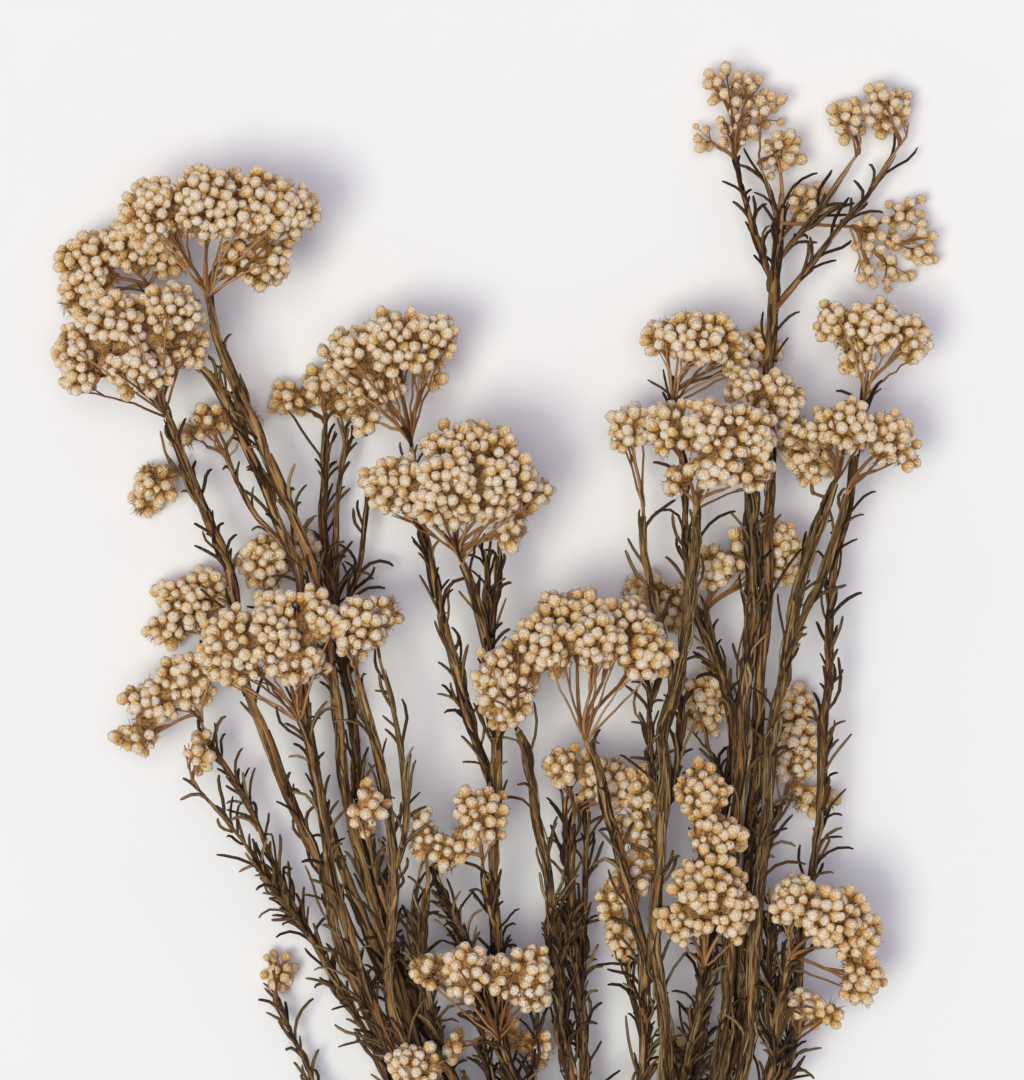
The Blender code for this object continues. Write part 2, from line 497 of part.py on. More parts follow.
def laid_routes():
    """All routes with their settled places, as lists of points and radii from the foot up."""
    top_y = max(route[2][0][1] for stem in STEMS for route in stem)
    levels = np.arange(CUT_Y - CUT_STAGGER, top_y + LEVEL, LEVEL)
    routes = []
    for number, stem in enumerate(STEMS, 1):
        for index, (foot, top, points) in enumerate(stem):
            route = Route(number, index == 0, (foot, top), points)
            route.parent = len(routes) - index
            routes.append(route)
    mains = [route for route in routes if route.main]
    slots = slots_for([(route.points[0][0], route.points[0][2]) for route in mains])
    for route in routes:
        slot = slots[route.stem - 1] if route.main else None
        route.aim(levels, slot, routes[route.parent])
    settle(routes, levels)
    for route in routes:
        mine = route.active
        points = np.column_stack([route.x, levels, route.z])[mine]
        radii = route.r[mine]
        if not route.main:
            parent = routes[route.parent]
            foot = [np.interp(route.foot_y, levels, axis) for axis in (parent.x, parent.z)]
            away = levels[mine] > route.foot_y + LEVEL
            points = np.vstack([(foot[0], route.foot_y, foot[1]), points[away]])
            radii = np.append(route.radii[0], radii[away])
        if math.dist(points[-1], route.top) > 0.5:
            below = points[:, 1] < route.top[1] - LEVEL * 0.6
            points = np.vstack([points[below], route.top])
            radii = np.append(radii[below], route.radii[1])
        route.line, route.line_r = simplified(points, radii, ROUTE_ERROR)
        route.shape = tube(route.line, route.line_r, STEM_SIDES if route.main else SHOOT_SIDES)
    return routes


def mesh_object(name, vertices, faces, kind):
    """A mesh object in metres from a list of places in millimetres."""
    mesh = bpy.data.meshes.new(name)
    mesh.from_pydata([tuple(float(value) * MM for value in vertex) for vertex in vertices], [], faces)
    mesh.validate()
    work = bmesh.new()
    work.from_mesh(mesh)
    bmesh.ops.recalc_face_normals(work, faces=work.faces)
    work.to_mesh(mesh)
    work.free()
    mesh.materials.append(finish(kind))
    made = bpy.data.objects.new(name, mesh)
    bpy.context.scene.collection.objects.link(made)
    return made


def tube(points, radii, sides):
    """A closed tube through the points, with rings square to its run."""
    points = np.asarray(points, float)
    runs = np.gradient(points, axis=0)
    runs /= np.linalg.norm(runs, axis=1)[:, None]
    side = np.cross(runs[0], (0.0, 0.0, 1.0))
    if np.linalg.norm(side) < 0.1:
        side = np.array((1.0, 0.0, 0.0))
    vertices, faces = [], []
    for point, run, radius in zip(points, runs, radii):
        side = side - run * side.dot(run)
        side /= np.linalg.norm(side)
        up = np.cross(side, run)
        for corner in range(sides):
            angle = math.tau * corner / sides
            vertices.append(point + radius * (side * math.cos(angle) + up * math.sin(angle)))
    for ring in range(len(points) - 1):
        for corner in range(sides):
            after = (corner + 1) % sides
            low, high = ring * sides, (ring + 1) * sides
            faces.append((low + corner, low + after, high + after, high + corner))
    last = (len(points) - 1) * sides
    faces.append(tuple(range(sides))[::-1])
    faces.append(tuple(last + corner for corner in range(sides)))
    return vertices, faces


def twig_tube(start, end):
    return tube((start, end), (TWIG_RADIUS, 0.9 * TWIG_RADIUS), SHOOT_SIDES)


def needle(root, tip):
    """A leaf as a three-sided spike, its root sunk to the middle of the stem."""
    vertices, _ = tube((root, tip), (NEEDLE_WIDTH / 2, NEEDLE_WIDTH / 2), 3)
    return vertices[:3] + [np.asarray(tip)], [(2, 1, 0), (0, 1, 3), (1, 2, 3), (2, 0, 3)]


def fused(name, shapes, kind):
    """One object from shapes that overlap: a union on a collection, then its largest body."""
    base = mesh_object(name, *shapes[0], kind)
    if len(shapes) > 1:
        parts = bpy.data.collections.new(name + "_parts")
        bpy.context.scene.collection.children.link(parts)
        for index, (vertices, faces) in enumerate(shapes[1:]):
            part = mesh_object(f"{name}_part_{index}", vertices, faces, kind)
            bpy.context.scene.collection.objects.unlink(part)
            parts.objects.link(part)
        union = base.modifiers.new("join", "BOOLEAN")
        union.operation = "UNION"
        union.solver = "MANIFOLD"
        union.operand_type = "COLLECTION"
        union.collection = parts
        graph = bpy.context.evaluated_depsgraph_get()
        joined = bpy.data.meshes.new_from_object(base.evaluated_get(graph))
        base.modifiers.remove(union)
        for part in list(parts.objects):
            bpy.data.objects.remove(part)
        bpy.data.collections.remove(parts)
        base.data = joined
    keep_largest(base)
    return base


def keep_largest(thing):
    """Drops loose scraps and sealed hollows, so that one closed body is left."""
    work = bmesh.new()
    work.from_mesh(thing.data)
    bmesh.ops.triangulate(work, faces=work.faces)
    bmesh.ops.dissolve_degenerate(work, dist=2e-6, edges=work.edges)
    bmesh.ops.triangulate(work, faces=work.faces)
    unseen = set(work.verts)
    bodies = []
    while unseen:
        body = set()
        edge = [min(unseen, key=lambda vertex: vertex.index)]
        while edge:
            vertex = edge.pop()
            if vertex in body:
                continue
            body.add(vertex)
            edge.extend(link.other_vert(vertex) for link in vertex.link_edges)
        unseen -= body
        bodies.append(body)
    bodies.sort(key=len, reverse=True)
    scraps = [vertex for body in bodies[1:] for vertex in body]
    bmesh.ops.delete(work, geom=scraps, context="VERTS")
    work.to_mesh(thing.data)
    work.free()


def outside_of(lobes, points):
    """How far each point lies outside the lobes, less than zero inside one."""
    away = (points[:, None, :] - lobes[None, :, :3]) / lobes[None, :, 3:]
    size = lobes[:, 3:].mean(axis=1)
    return ((np.linalg.norm(away, axis=2) - 1) * size).min(axis=1)


def exit_distance(lobes, middle, directions):
    """How far from the middle each direction leaves the last lobe that it crosses."""
    start = (middle - lobes[:, :3]) / lobes[:, 3:]
    run = directions[:, None, :] / lobes[None, :, 3:]
    a = (run ** 2).sum(axis=2)
    b = (run * start[None]).sum(axis=2)
    c = (start ** 2).sum(axis=1)[None] - 1
    root = b * b - a * c
    far = np.where(root > 0, (-b + np.sqrt(np.clip(root, 0, None))) / a, 0)
    return far.max(axis=1)


def even_directions(count):
    """Directions spread evenly over a sphere along one spiral."""
    index = np.arange(count) + 0.5
    height = 1 - 2 * index / count
    angle = index * math.pi * (3 - math.sqrt(5))
    flat = np.sqrt(1 - height ** 2)
    return np.column_stack([flat * np.cos(angle), flat * np.sin(angle), height])


def hull_triangles(directions):
    work = bmesh.new()
    for direction in directions:
        work.verts.new(direction)
    work.verts.index_update()
    bmesh.ops.convex_hull(work, input=work.verts)
    bmesh.ops.triangulate(work, faces=work.faces)
    bmesh.ops.recalc_face_normals(work, faces=work.faces)
    triangles = [tuple(vertex.index for vertex in face.verts) for face in work.faces]
    work.free()
    return triangles


def ring_round(tip, triangles):
    """The triangles that meet at a tip, by number, in their order round it."""
    around = {}
    for number, triangle in enumerate(triangles):
        if tip in triangle:
            place = triangle.index(tip)
            around[triangle[(place + 1) % 3]] = (number, triangle[(place + 2) % 3])
    start = current = next(iter(around))
    ring = []
    while True:
        number, current = around[current]
        ring.append(number)
        if current == start:
            return ring


def band(inner, outer):
    """Triangles between two closed rings of points that run the same way round."""
    faces = []
    i = j = 0
    while i < len(inner) or j < len(outer):
        a, b = inner[i % len(inner)], outer[j % len(outer)]
        if (i + 1) * len(outer) <= (j + 1) * len(inner):
            i += 1
            faces.append((a, b, inner[i % len(inner)]))
        else:
            j += 1
            faces.append((a, b, outer[j % len(outer)]))
    return faces


def bud_places(lobes, middle):
    """Places for buds, evenly spaced over the outline of a head, and their pitch."""
    rays = even_directions(OUTLINE_RAYS)
    reaches = exit_distance(lobes, middle, rays)
    pitch = np.interp(reaches.mean(), HEAD_REACHES, BUD_PITCHES)
    outline = rays * np.maximum(reaches, 0.5 * pitch)[:, None]
    chosen = [int(outline[:, 2].argmax())]
    away = np.linalg.norm(outline - outline[chosen[0]], axis=1)
    while away.max() > 0.75 * pitch or len(chosen) < FEWEST_BUDS:
        chosen.append(int(away.argmax()))
        away = np.minimum(away, np.linalg.norm(outline - outline[chosen[-1]], axis=1))
    return outline[chosen], pitch


def unit(vectors):
    return vectors / np.linalg.norm(vectors, axis=1)[:, None]


def bud_dome(lobes, blocked):
    """One closed body of round buds raised side by side from the outline of its lobes."""
    middle = np.average(lobes[:, :3], axis=0, weights=lobes[:, 3:].prod(axis=1))
    tips, pitch = bud_places(lobes, middle)
    triangles = hull_triangles(unit(tips))
    valleys = np.array([tips[list(triangle)].mean(axis=0) for triangle in triangles])
    faces, shoulders = [], []
    for tip, place in enumerate(tips):
        ring = ring_round(tip, triangles)
        base = len(valleys) + len(shoulders)
        for step in range(BUD_SHOULDERS):
            turn = step * len(ring) / BUD_SHOULDERS
            before = valleys[ring[int(turn)]]
            after = valleys[ring[(int(turn) + 1) % len(ring)]]
            edge = before + (after - before) * (turn % 1)
            shoulders.append(place + (edge - place) * BUD_SHOULDER)
        inner = [base + step for step in range(BUD_SHOULDERS)]
        faces.append(tuple(inner))
        faces.extend(band(inner, ring))
    directions = unit(np.vstack([valleys, shoulders]))
    reaches = np.maximum(exit_distance(lobes, middle, directions), 0.5 * pitch)
    reaches[:len(valleys)] -= VALLEY_DROP * pitch
    reaches = np.maximum(reaches, 0.35 * pitch)
    share = np.ones(len(reaches))
    for step in range(DRAW_STEPS):
        points = middle + directions * (reaches * share)[:, None]
        hit = blocked(points)
        if not hit.any():
            break
        share = np.where(hit, share - DRAW_STEP, share)
    points = middle + directions * (reaches * share)[:, None]
    below = points[:, 2] < 0
    drop = np.where(below, middle[2] / np.maximum(middle[2] - points[:, 2], 1e-6), 1.0)
    points = middle + (points - middle) * drop[:, None]
    points[below, 2] = 0.0
    return points, faces


def make_heads(routes):
    """All flower heads, pressed flat against each other and clear of the stems."""
    every = [lobes_of(head) for head in HEADS]
    line = np.vstack([dense(route)[0] for route in routes])
    line_r = np.concatenate([dense(route)[1] for route in routes])
    heads = []
    for number, head in enumerate(HEADS):
        lobes = every[number]
        near = [other for index, other in enumerate(every) if index != number and touches(other, lobes)]
        low, high = box_of(lobes)
        close = ((line > low - LOOK_ROUND) & (line < high + LOOK_ROUND)).all(axis=1)
        sticks, thick = line[close], line_r[close]

        def blocked(points):
            hit = np.zeros(len(points), bool)
            own = outside_of(lobes, points)
            for other in near:
                hit |= own > outside_of(other, points) - 2 * PRESS_GAP
            if len(sticks):
                away = np.linalg.norm(points[:, None] - sticks[None], axis=2) - thick[None]
                hit |= away.min(axis=1) < 2 * PRESS_GAP
            return hit

        shape = bud_dome(lobes, blocked)
        heads.append(mesh_object(f"flower_head_{number + 1:02d}", *shape, "bud"))
    return heads


def box_of(lobes):
    return (lobes[:, :3] - lobes[:, 3:]).min(axis=0), (lobes[:, :3] + lobes[:, 3:]).max(axis=0)


def touches(lobes, others):
    low, high = box_of(lobes)
    other_low, other_high = box_of(others)
    return bool((low < other_high + LOOK_ROUND).all() and (other_low < high + LOOK_ROUND).all())


def dense(route):
    """The line of a route with a point about every 1.5 mm."""
    points, radii = [], []
    for a, b, ra, rb in zip(route.line, route.line[1:], route.line_r, route.line_r[1:]):
        steps = max(2, int(math.dist(a, b) / 1.5))
        share = np.arange(steps)[:, None] / steps
        points.append(a + (b - a) * share)
        radii.append(ra + (rb - ra) * share[:, 0])
    points.append(route.line[-1:])
    radii.append(route.line_r[-1:])
    return np.vstack(points), np.concatenate(radii)


class Body:
    """The surface of a shape in millimetres, with a search tree and its box."""

    def __init__(self, vertices, faces):
        self.points = np.array([tuple(vertex) for vertex in vertices], float)
        self.faces = faces
        self.tree = BVHTree.FromPolygons(self.points.tolist(), faces)
        self.low, self.high = self.points.min(axis=0), self.points.max(axis=0)

    def may_meet(self, other):
        return bool((self.low < other.high + 1).all() and (other.low < self.high + 1).all())

    def faces_near(self, other, gap):
        """The faces of this body that cut the other one or lie within the gap of it."""
        found = {pair[0] for pair in self.tree.overlap(other.tree)}
        for point in other.points:
            found.add(self.tree.find_nearest(Vector(point), gap)[2])
        close = {index for index, point in enumerate(self.points)
                 if other.tree.find_nearest(Vector(point), gap)[0] is not None}
        if close:
            found |= {number for number, face in enumerate(self.faces) if close & set(face)}
        return found - {None}


def body_of(thing):
    faces = [tuple(face.vertices) for face in thing.data.polygons]
    return Body([vertex.co / MM for vertex in thing.data.vertices], faces)


def press_apart(heads, sticks):
    """Draws in the buds of a head wherever they still come too near to a neighbour."""
    for turn in range(PRESS_ROUNDS):
        bodies = [body_of(head) for head in heads]
        moved = []
        for head, body in zip(heads, bodies):
            hit = set()
            for other in bodies + sticks:
                if other is not body and body.may_meet(other):
                    hit |= body.faces_near(other, HEAD_GAP)
            if not hit:
                continue
            moved.append(head.name)
            middle = Vector(body.points.mean(axis=0) * MM)
            for corner in {corner for number in hit for corner in body.faces[number]}:
                vertex = head.data.vertices[corner]
                drawn = vertex.co.lerp(middle, PRESS_STEP)
                vertex.co = (drawn.x, drawn.y, 0.0 if vertex.co.z < 1e-6 else drawn.z)
        if not moved:
            return
    print("still close to a neighbour:", moved)


def branchlet_tube(start, end):
    return tube((start, end), (BRANCHLET_RADIUS, 0.8 * BRANCHLET_RADIUS), 3)


def clear_length(body, start, run, length):
    """How long a branchlet may be before it comes too near to the buds."""
    while length > SHORTEST_BRANCHLET:
        twig = Body(*branchlet_tube(start, start + run * length))
        share = np.arange(0, 1.001, 0.4 / length)[:, None, None]
        edges = (twig.points[:3] * (1 - share) + twig.points[3:] * share).reshape(-1, 3)
        far = all(body.tree.find_nearest(Vector(point), BRANCHLET_GAP)[0] is None for point in edges)
        if far and not body.faces_near(twig, BRANCHLET_GAP):
            return length
        length -= 0.15
    return 0.0


def branchlets(head, body, lines_to, clear):
    """Thin twigs from the top of a stem to the lobes of its head, ending just short of the buds.

    They leave the stem one below the other, the outermost lowest.
    """
    made = []
    for fork in head[0]:
        line = lines_to[tuple(fork)]
        top = line[-1]
        ahead = line[-1] - line[max(len(line) - 5, 0)]
        ahead /= np.linalg.norm(ahead)
        mine = [lobe[:3] for lobe in lobes_of(head)
                if min(head[0], key=lambda place: math.dist(place, lobe[:3])) == fork]
        aims = sorted(mine, key=lambda aim: -(aim - top).dot(ahead) / np.linalg.norm(aim - top))
        steps = np.linalg.norm(np.diff(line, axis=0), axis=1)
        below_top = np.append(np.cumsum(steps[::-1])[::-1], 0)
        for place, aim in enumerate(aims[:BRANCHLETS]):
            wanted = 0.3 + BRANCHLET_STEP * place
            start = line[int(np.abs(below_top - wanted).argmin())]
            run = (aim - start) / np.linalg.norm(aim - start)
            hit = body.tree.ray_cast(Vector(start), Vector(run))
            if hit[0] is None:
                continue
            length = clear_length(body, start, run, hit[3])
            end = start + run * length
            probe = start + (end - start) * np.linspace(0.2, 1, 8)[:, None]
            if length and clear(probe):
                made.append((tuple(fork), start, end))
    return made


def clear_of(points, room, sticks, thick, trees, spikes):
    """Whether all the points keep the room to stems, heads and earlier needles."""
    away = np.linalg.norm(points[:, None] - sticks[None], axis=2) - thick[None]
    if away.min() < room + NEEDLE_WIDTH / 2:
        return False
    if len(spikes) and np.linalg.norm(points[:, None] - spikes[None], axis=2).min() < 2 * NEEDLE_WIDTH:
        return False
    for tree in trees:
        for point in points:
            if tree.find_nearest(Vector(point), room + NEEDLE_WIDTH / 2)[0] is not None:
                return False
    return True


def needles_for(stem, routes, heads_trees, lines, taken, rng):
    """The leaves of one stem: spikes set round it at an even spacing, up to its top."""
    made = []
    others = [number for number in lines if number != stem]
    sticks = np.vstack([lines[number][0] for number in others])
    thick = np.concatenate([lines[number][1] for number in others])
    for route in routes:
        if route.stem != stem:
            continue
        points, radii = dense(route)
        steps = np.linalg.norm(np.diff(points, axis=0), axis=1)
        along = np.concatenate([[0], np.cumsum(steps)])
        place = rng.uniform(0.25, 0.4) * NEEDLE_SPACING
        if route.main:
            place += TIE_Y - CUT_Y + BARE_FOOT
        turn = rng.uniform(0, math.tau)
        while place < along[-1] - 2:
            index = int(np.searchsorted(along, place))
            run = points[min(index + 2, len(points) - 1)] - points[max(index - 2, 0)]
            run /= np.linalg.norm(run)
            side = np.cross(run, (0, 0, 1.0))
            side /= np.linalg.norm(side)
            up = np.cross(side, run)
            for attempt in range(7):
                angle = turn + math.tau * attempt / 7
                out = side * math.cos(angle) + up * math.sin(angle)
                length = NEEDLE_LENGTH * rng.uniform(0.8, 1.15)
                tip = points[index] + length * (NEEDLE_OUT * out + NEEDLE_ALONG * run)
                probe = points[index] + (tip - points[index]) * np.array([[0.4], [0.7], [1.0]])
                if probe[:, 2].min() < NEEDLE_WIDTH:
                    continue
                spikes = np.array([place for number in others for place in taken.get(number, [])])
                if clear_of(probe, NEEDLE_ROOM, sticks, thick, heads_trees, spikes):
                    made.append(needle(points[index], tip))
                    taken.setdefault(stem, []).extend(probe)
                    break
            turn += NEEDLE_TURN
            place += NEEDLE_SPACING * rng.uniform(0.85, 1.15)
    return made


def make_stems(routes, heads):
    """Each stem with its shoots, branchlets and leaves, joined into one body."""
    rng = np.random.default_rng(SEED)
    bodies = [body_of(head) for head in heads]
    trees = [body.tree for body in bodies]
    tubes = {number: [] for number in range(1, len(STEMS) + 1)}
    lines = {number: [[], []] for number in tubes}
    owner, lines_to = {}, {}
    for route in routes:
        tubes[route.stem].append(route.shape)
        fine, fine_r = dense(route)
        lines[route.stem][0].append(fine)
        lines[route.stem][1].append(fine_r)
        owner[tuple(route.top)] = route.stem
        lines_to[tuple(route.top)] = fine
    for stem, start, end in TWIGS:
        tubes[stem].append(twig_tube(start, end))
        share = np.linspace(0, 1, 16)[:, None]
        twig = np.array(start, float) * (1 - share) + np.array(end, float) * share
        lines[stem][0].append(twig)
        lines[stem][1].append(np.full(len(twig), TWIG_RADIUS))
        owner[tuple(end)] = stem
        lines_to[tuple(end)] = twig
    for number, head in enumerate(HEADS):
        stem = owner[tuple(head[0][0])]
        others = [other for other in lines if other != stem]
        sticks = np.vstack([line for other in others for line in lines[other][0]])
        thick = np.concatenate([radius for other in others for radius in lines[other][1]])
        near = [tree for other, tree in enumerate(trees) if other != number]

        def clear(points):
            return clear_of(points, BRANCHLET_GAP, sticks, thick, near, [])

        for fork, start, end in branchlets(head, bodies[number], lines_to, clear):
            stem = owner[fork]
            tubes[stem].append(branchlet_tube(start, end))
            count = max(2, int(math.dist(start, end) / 1.5))
            share = np.linspace(0, 1, count)[:, None]
            lines[stem][0].append(start + (end - start) * share)
            lines[stem][1].append(np.full(count, BRANCHLET_RADIUS))
    lines = {number: (np.vstack(points), np.concatenate(radii))
             for number, (points, radii) in lines.items()}
    taken = {}
    for number in tubes:
        leaves = needles_for(number, routes, trees, lines, taken, rng)
        fused(f"leafy_stem_{number:02d}", tubes[number] + leaves, "stem")


def make_tie():
    """A band of twine turns round the stems, pressed flat where it rests."""
    pitch = TIE_WIDTH / TIE_TURNS
    profile = [(-TIE_WIDTH / 2, TIE_INNER)]
    for turn in range(TIE_TURNS):
        start = -TIE_WIDTH / 2 + turn * pitch
        profile.append((start, TIE_OUTER - TWINE * 0.45))
        profile.append((start + pitch * 0.3, TIE_OUTER))
        profile.append((start + pitch * 0.7, TIE_OUTER))
    profile.append((TIE_WIDTH / 2, TIE_OUTER - TWINE * 0.45))
    profile.append((TIE_WIDTH / 2, TIE_INNER))
    vertices, faces = [], []
    for side in range(TIE_SIDES):
        angle = math.tau * (side + 0.5) / TIE_SIDES
        for y, radius in profile:
            height = TIE_Z + radius * math.sin(angle)
            vertices.append((TIE_X + radius * math.cos(angle), TIE_Y + y, max(height, 0.0)))
    ring = len(profile)
    for side in range(TIE_SIDES):
        after = (side + 1) % TIE_SIDES
        for point in range(ring):
            next_point = (point + 1) % ring
            faces.append((side * ring + point, side * ring + next_point,
                          after * ring + next_point, after * ring + point))
    return mesh_object("tie", vertices, faces, "twine")


def centre_on_surface():
    """Puts the origin under the middle of the whole bunch's box, on the surface."""
    things = list(bpy.context.scene.objects)
    corners = np.array([vertex.co for thing in things for vertex in thing.data.vertices])
    low, high = corners.min(axis=0), corners.max(axis=0)
    shift = Vector((-(low[0] + high[0]) / 2, -(low[1] + high[1]) / 2, 0))
    for thing in things:
        for vertex in thing.data.vertices:
            vertex.co = vertex.co + shift
            if abs(vertex.co.z) < 1e-6:
                vertex.co.z = 0.0
        thing.data.update()


def main():
    for thing in list(bpy.data.objects):
        bpy.data.objects.remove(thing)
    routes = laid_routes()
    heads = make_heads(routes)
    shapes = [route.shape for route in routes] + [twig_tube(start, end) for _, start, end in TWIGS]
    press_apart(heads, [Body(*shape) for shape in shapes])
    make_stems(routes, heads)
    make_tie()
    centre_on_surface()


main()
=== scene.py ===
"""The dressed model of the dried rice flower bunch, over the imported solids.

The stems and heads follow the same layout as the solids. All sizes below are in millimetres, in a
layout frame whose X and Y follow the bunch as seen from above and whose Z is the height over the
surface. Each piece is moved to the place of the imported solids, in metres, when it is made.
"""
import json
import math
from types import SimpleNamespace

import bpy
import numpy as np
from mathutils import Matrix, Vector, noise
from mathutils.kdtree import KDTree

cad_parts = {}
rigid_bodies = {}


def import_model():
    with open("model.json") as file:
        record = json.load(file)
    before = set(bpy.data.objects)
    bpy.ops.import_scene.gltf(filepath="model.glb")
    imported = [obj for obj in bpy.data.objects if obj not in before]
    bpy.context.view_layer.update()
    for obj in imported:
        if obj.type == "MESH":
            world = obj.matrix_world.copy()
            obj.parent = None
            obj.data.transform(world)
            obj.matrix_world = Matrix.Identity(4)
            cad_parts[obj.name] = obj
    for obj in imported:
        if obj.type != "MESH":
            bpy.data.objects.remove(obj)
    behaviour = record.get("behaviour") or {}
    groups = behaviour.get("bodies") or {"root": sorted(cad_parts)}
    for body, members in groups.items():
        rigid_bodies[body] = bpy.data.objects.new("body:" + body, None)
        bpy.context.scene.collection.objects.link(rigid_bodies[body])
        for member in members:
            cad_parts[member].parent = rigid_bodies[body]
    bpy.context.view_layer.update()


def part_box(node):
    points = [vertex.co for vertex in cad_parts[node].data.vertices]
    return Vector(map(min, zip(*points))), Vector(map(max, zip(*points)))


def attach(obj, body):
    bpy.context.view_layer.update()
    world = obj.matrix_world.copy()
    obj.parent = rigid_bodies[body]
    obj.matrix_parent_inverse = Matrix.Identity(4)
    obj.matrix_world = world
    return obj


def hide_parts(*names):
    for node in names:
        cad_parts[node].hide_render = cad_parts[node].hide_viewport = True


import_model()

MM = 0.001
SEED = 11
rng = np.random.default_rng(SEED)

# Sizes of the layout, as in the solids
CUT_Y, CUT_STAGGER = -75.0, 6.0  # where the stems are cut, and how far the cuts lie from there
TIE_X, TIE_Y = -6.0, -30.0  # middle of the tie
TIE_WIDTH = 9.0
TIE_THICKNESS = 2.6
TIE_SIDES = 16
PRESSED = 0.8  # how far the tie is pressed flat where it rests
SLOT_PITCH = 4.45  # from one stem to the next inside the tie
SLOT_STRAIGHT = 16.0  # how far the stems run straight on both sides of the tie
SPLAY = 0.006  # how fast they part again below it
BUNDLE_ROOM = 0.35  # between the outer stems and the tie
TIE_REACH = 60.0  # the gaps between stems widen over this length above the tie
FIRST_LEAF = 26.0  # the least height of a leaf above the tie
FANNED_Y = 118.0  # above this the stems follow their own routes
LEVEL = 4.0  # from one level of Y to the next
SETTLE_ROUNDS = 420
FINAL_ROUNDS = 40  # the last of them, which only part the stems
LONGEST_PUSH = 1.2
PULL_X, PULL_Z = 0.02, 0.012  # share of the way back to the wanted place in each round
SMOOTHING = 0.3  # share of each bend that is taken out in each round
STEM_GAP, TIE_GAP = 1.6, 0.45  # room between two stems, in the fan and in the tie
HEAD_ROOM, FLOOR_ROOM = 1.1, 0.3  # the same from a stem to a head and to the surface
OWN_HEAD = 18.0  # a stem may run into its own head over this length
LOWEST = 0.02  # no point of a piece lies lower than this

# Twine
TURNS, TURNS_BACK = 3.4, 1.7
YARN = 1.9  # thickness of the twine as drawn
LAY = 5.0  # length over which its three strands turn once round each other
FILLER_TRIES = 900  # places tried for the thin shoots under the twine
FILLER_TAPER = np.array([0.35, 0.8, 1, 1, 1, 1, 0.9, 0.7, 0.3])

# Buds and heads
BUD_RADIUS = 1.98
BUD_SPREAD = 0.34  # how far the radius of a bud may lie from the mean
SMALL_SHARE, SMALL_SIZE = 0.08, 0.75  # a few buds are smaller still
BUD_GAP = 3.2  # least distance between two buds of the outer layer
INNER_GAP = 3.3  # the same for the layer seen between them
INNER_DEPTH = 2.7
CLUSTER_GAP = 9.5  # from the middle of one cluster of buds to the next
CLUSTER_REACH = 5.5
CLUSTER_CROWN = 0.8  # how far the middle of a cluster stands out
CLUSTER_CREASE = 2.2  # how far its rim lies below that
STRAY_SHARE = 0.05  # share of the buds that stand out on their own stalks
HUB_DEPTH = 6.0  # where the stalks of a cluster part, below its buds
HUB_PULL = 0.12  # share of the way that it is drawn from there towards the fork
HUB_LOWEST = 1.2
OUTLINE_STEP = 1.0
OUTLINE_SWELL, SWELL_SCALE = 1.6, 0.14  # how far a head bulges, and how fast that changes
PATCH_SCALE = 0.15  # the same for patches with fewer buds and more husks
FORK_SIDE_BARE = 0.93, 0.75  # share of the outer and inner places without a bud towards the fork
FRONT_BARE, PATCH_BARE = 0.6, 0.55  # the same over the bare front, and in the patches
INNER_SHADE_TONE = 0.25  # how much darker the inner buds are painted: painted shade deep between the outer buds
STALK_RADIUS = 0.26  # of the stalk under each bud
LOWEST_BUD = 1.75
UNDER_TOP = 2.2
OTHER_HEAD = 0.9  # a bud lies at least this much deeper in its own head than in another
STEM_SEARCH, STEM_CLEAR = 4.2, 1.4
TOP = 73.4  # no bud stands higher than this
CORE_SHARE = np.array((0.5, 0.5, 0.36))  # size of the rough core in a lobe, along X, Y and Z
BRIDGE_SHARE = np.array((0.38, 0.38, 0.26))  # the same for the body between two lobes
CORE_SPIKES = 78
CORE_ROUGHNESS, CORE_SCALE = 0.25, 2.3
BRIDGE_DROP = 1.5
HUSK_SHARE = 0.53  # husks to each square millimetre of a head

# Heads with open clusters: how far they are open, from 0 to 1
OPEN_HEADS = {22: 0.85, 24: 0.8, 25: 1.0, 23: 0.5, 19: 0.8, 13: 0.4, 39: 0.6, 15: 0.3}
# Share of a head, from its fork on, where stalks show in front of fewer buds
BARE_FRONTS = {1: 0.40, 6: 0.50, 8: 0.30, 17: 0.45, 20: 0.34, 22: 0.5, 23: 0.35, 26: 0.42, 28: 0.4,
               3: 0.25, 10: 0.25, 31: 0.3, 27: 0.3}
USUAL_BARE_FRONT = 0.2
# How tan the buds of a head are, where they aren't ivory: partly their own dry colour, partly painted shade
# on heads that lie in shade among the stems
TAN_AND_SHADE_HEADS = {24: 0.05, 7: 0.12, 33: 0.12, 32: 0.1, 39: 0.3, 36: 0.14, 2: 0.06, 19: 0.12, 5: 0.1,
             38: 0.05, 35: 0.16, 37: 0.06, 20: 0.06, 21: 0.12}

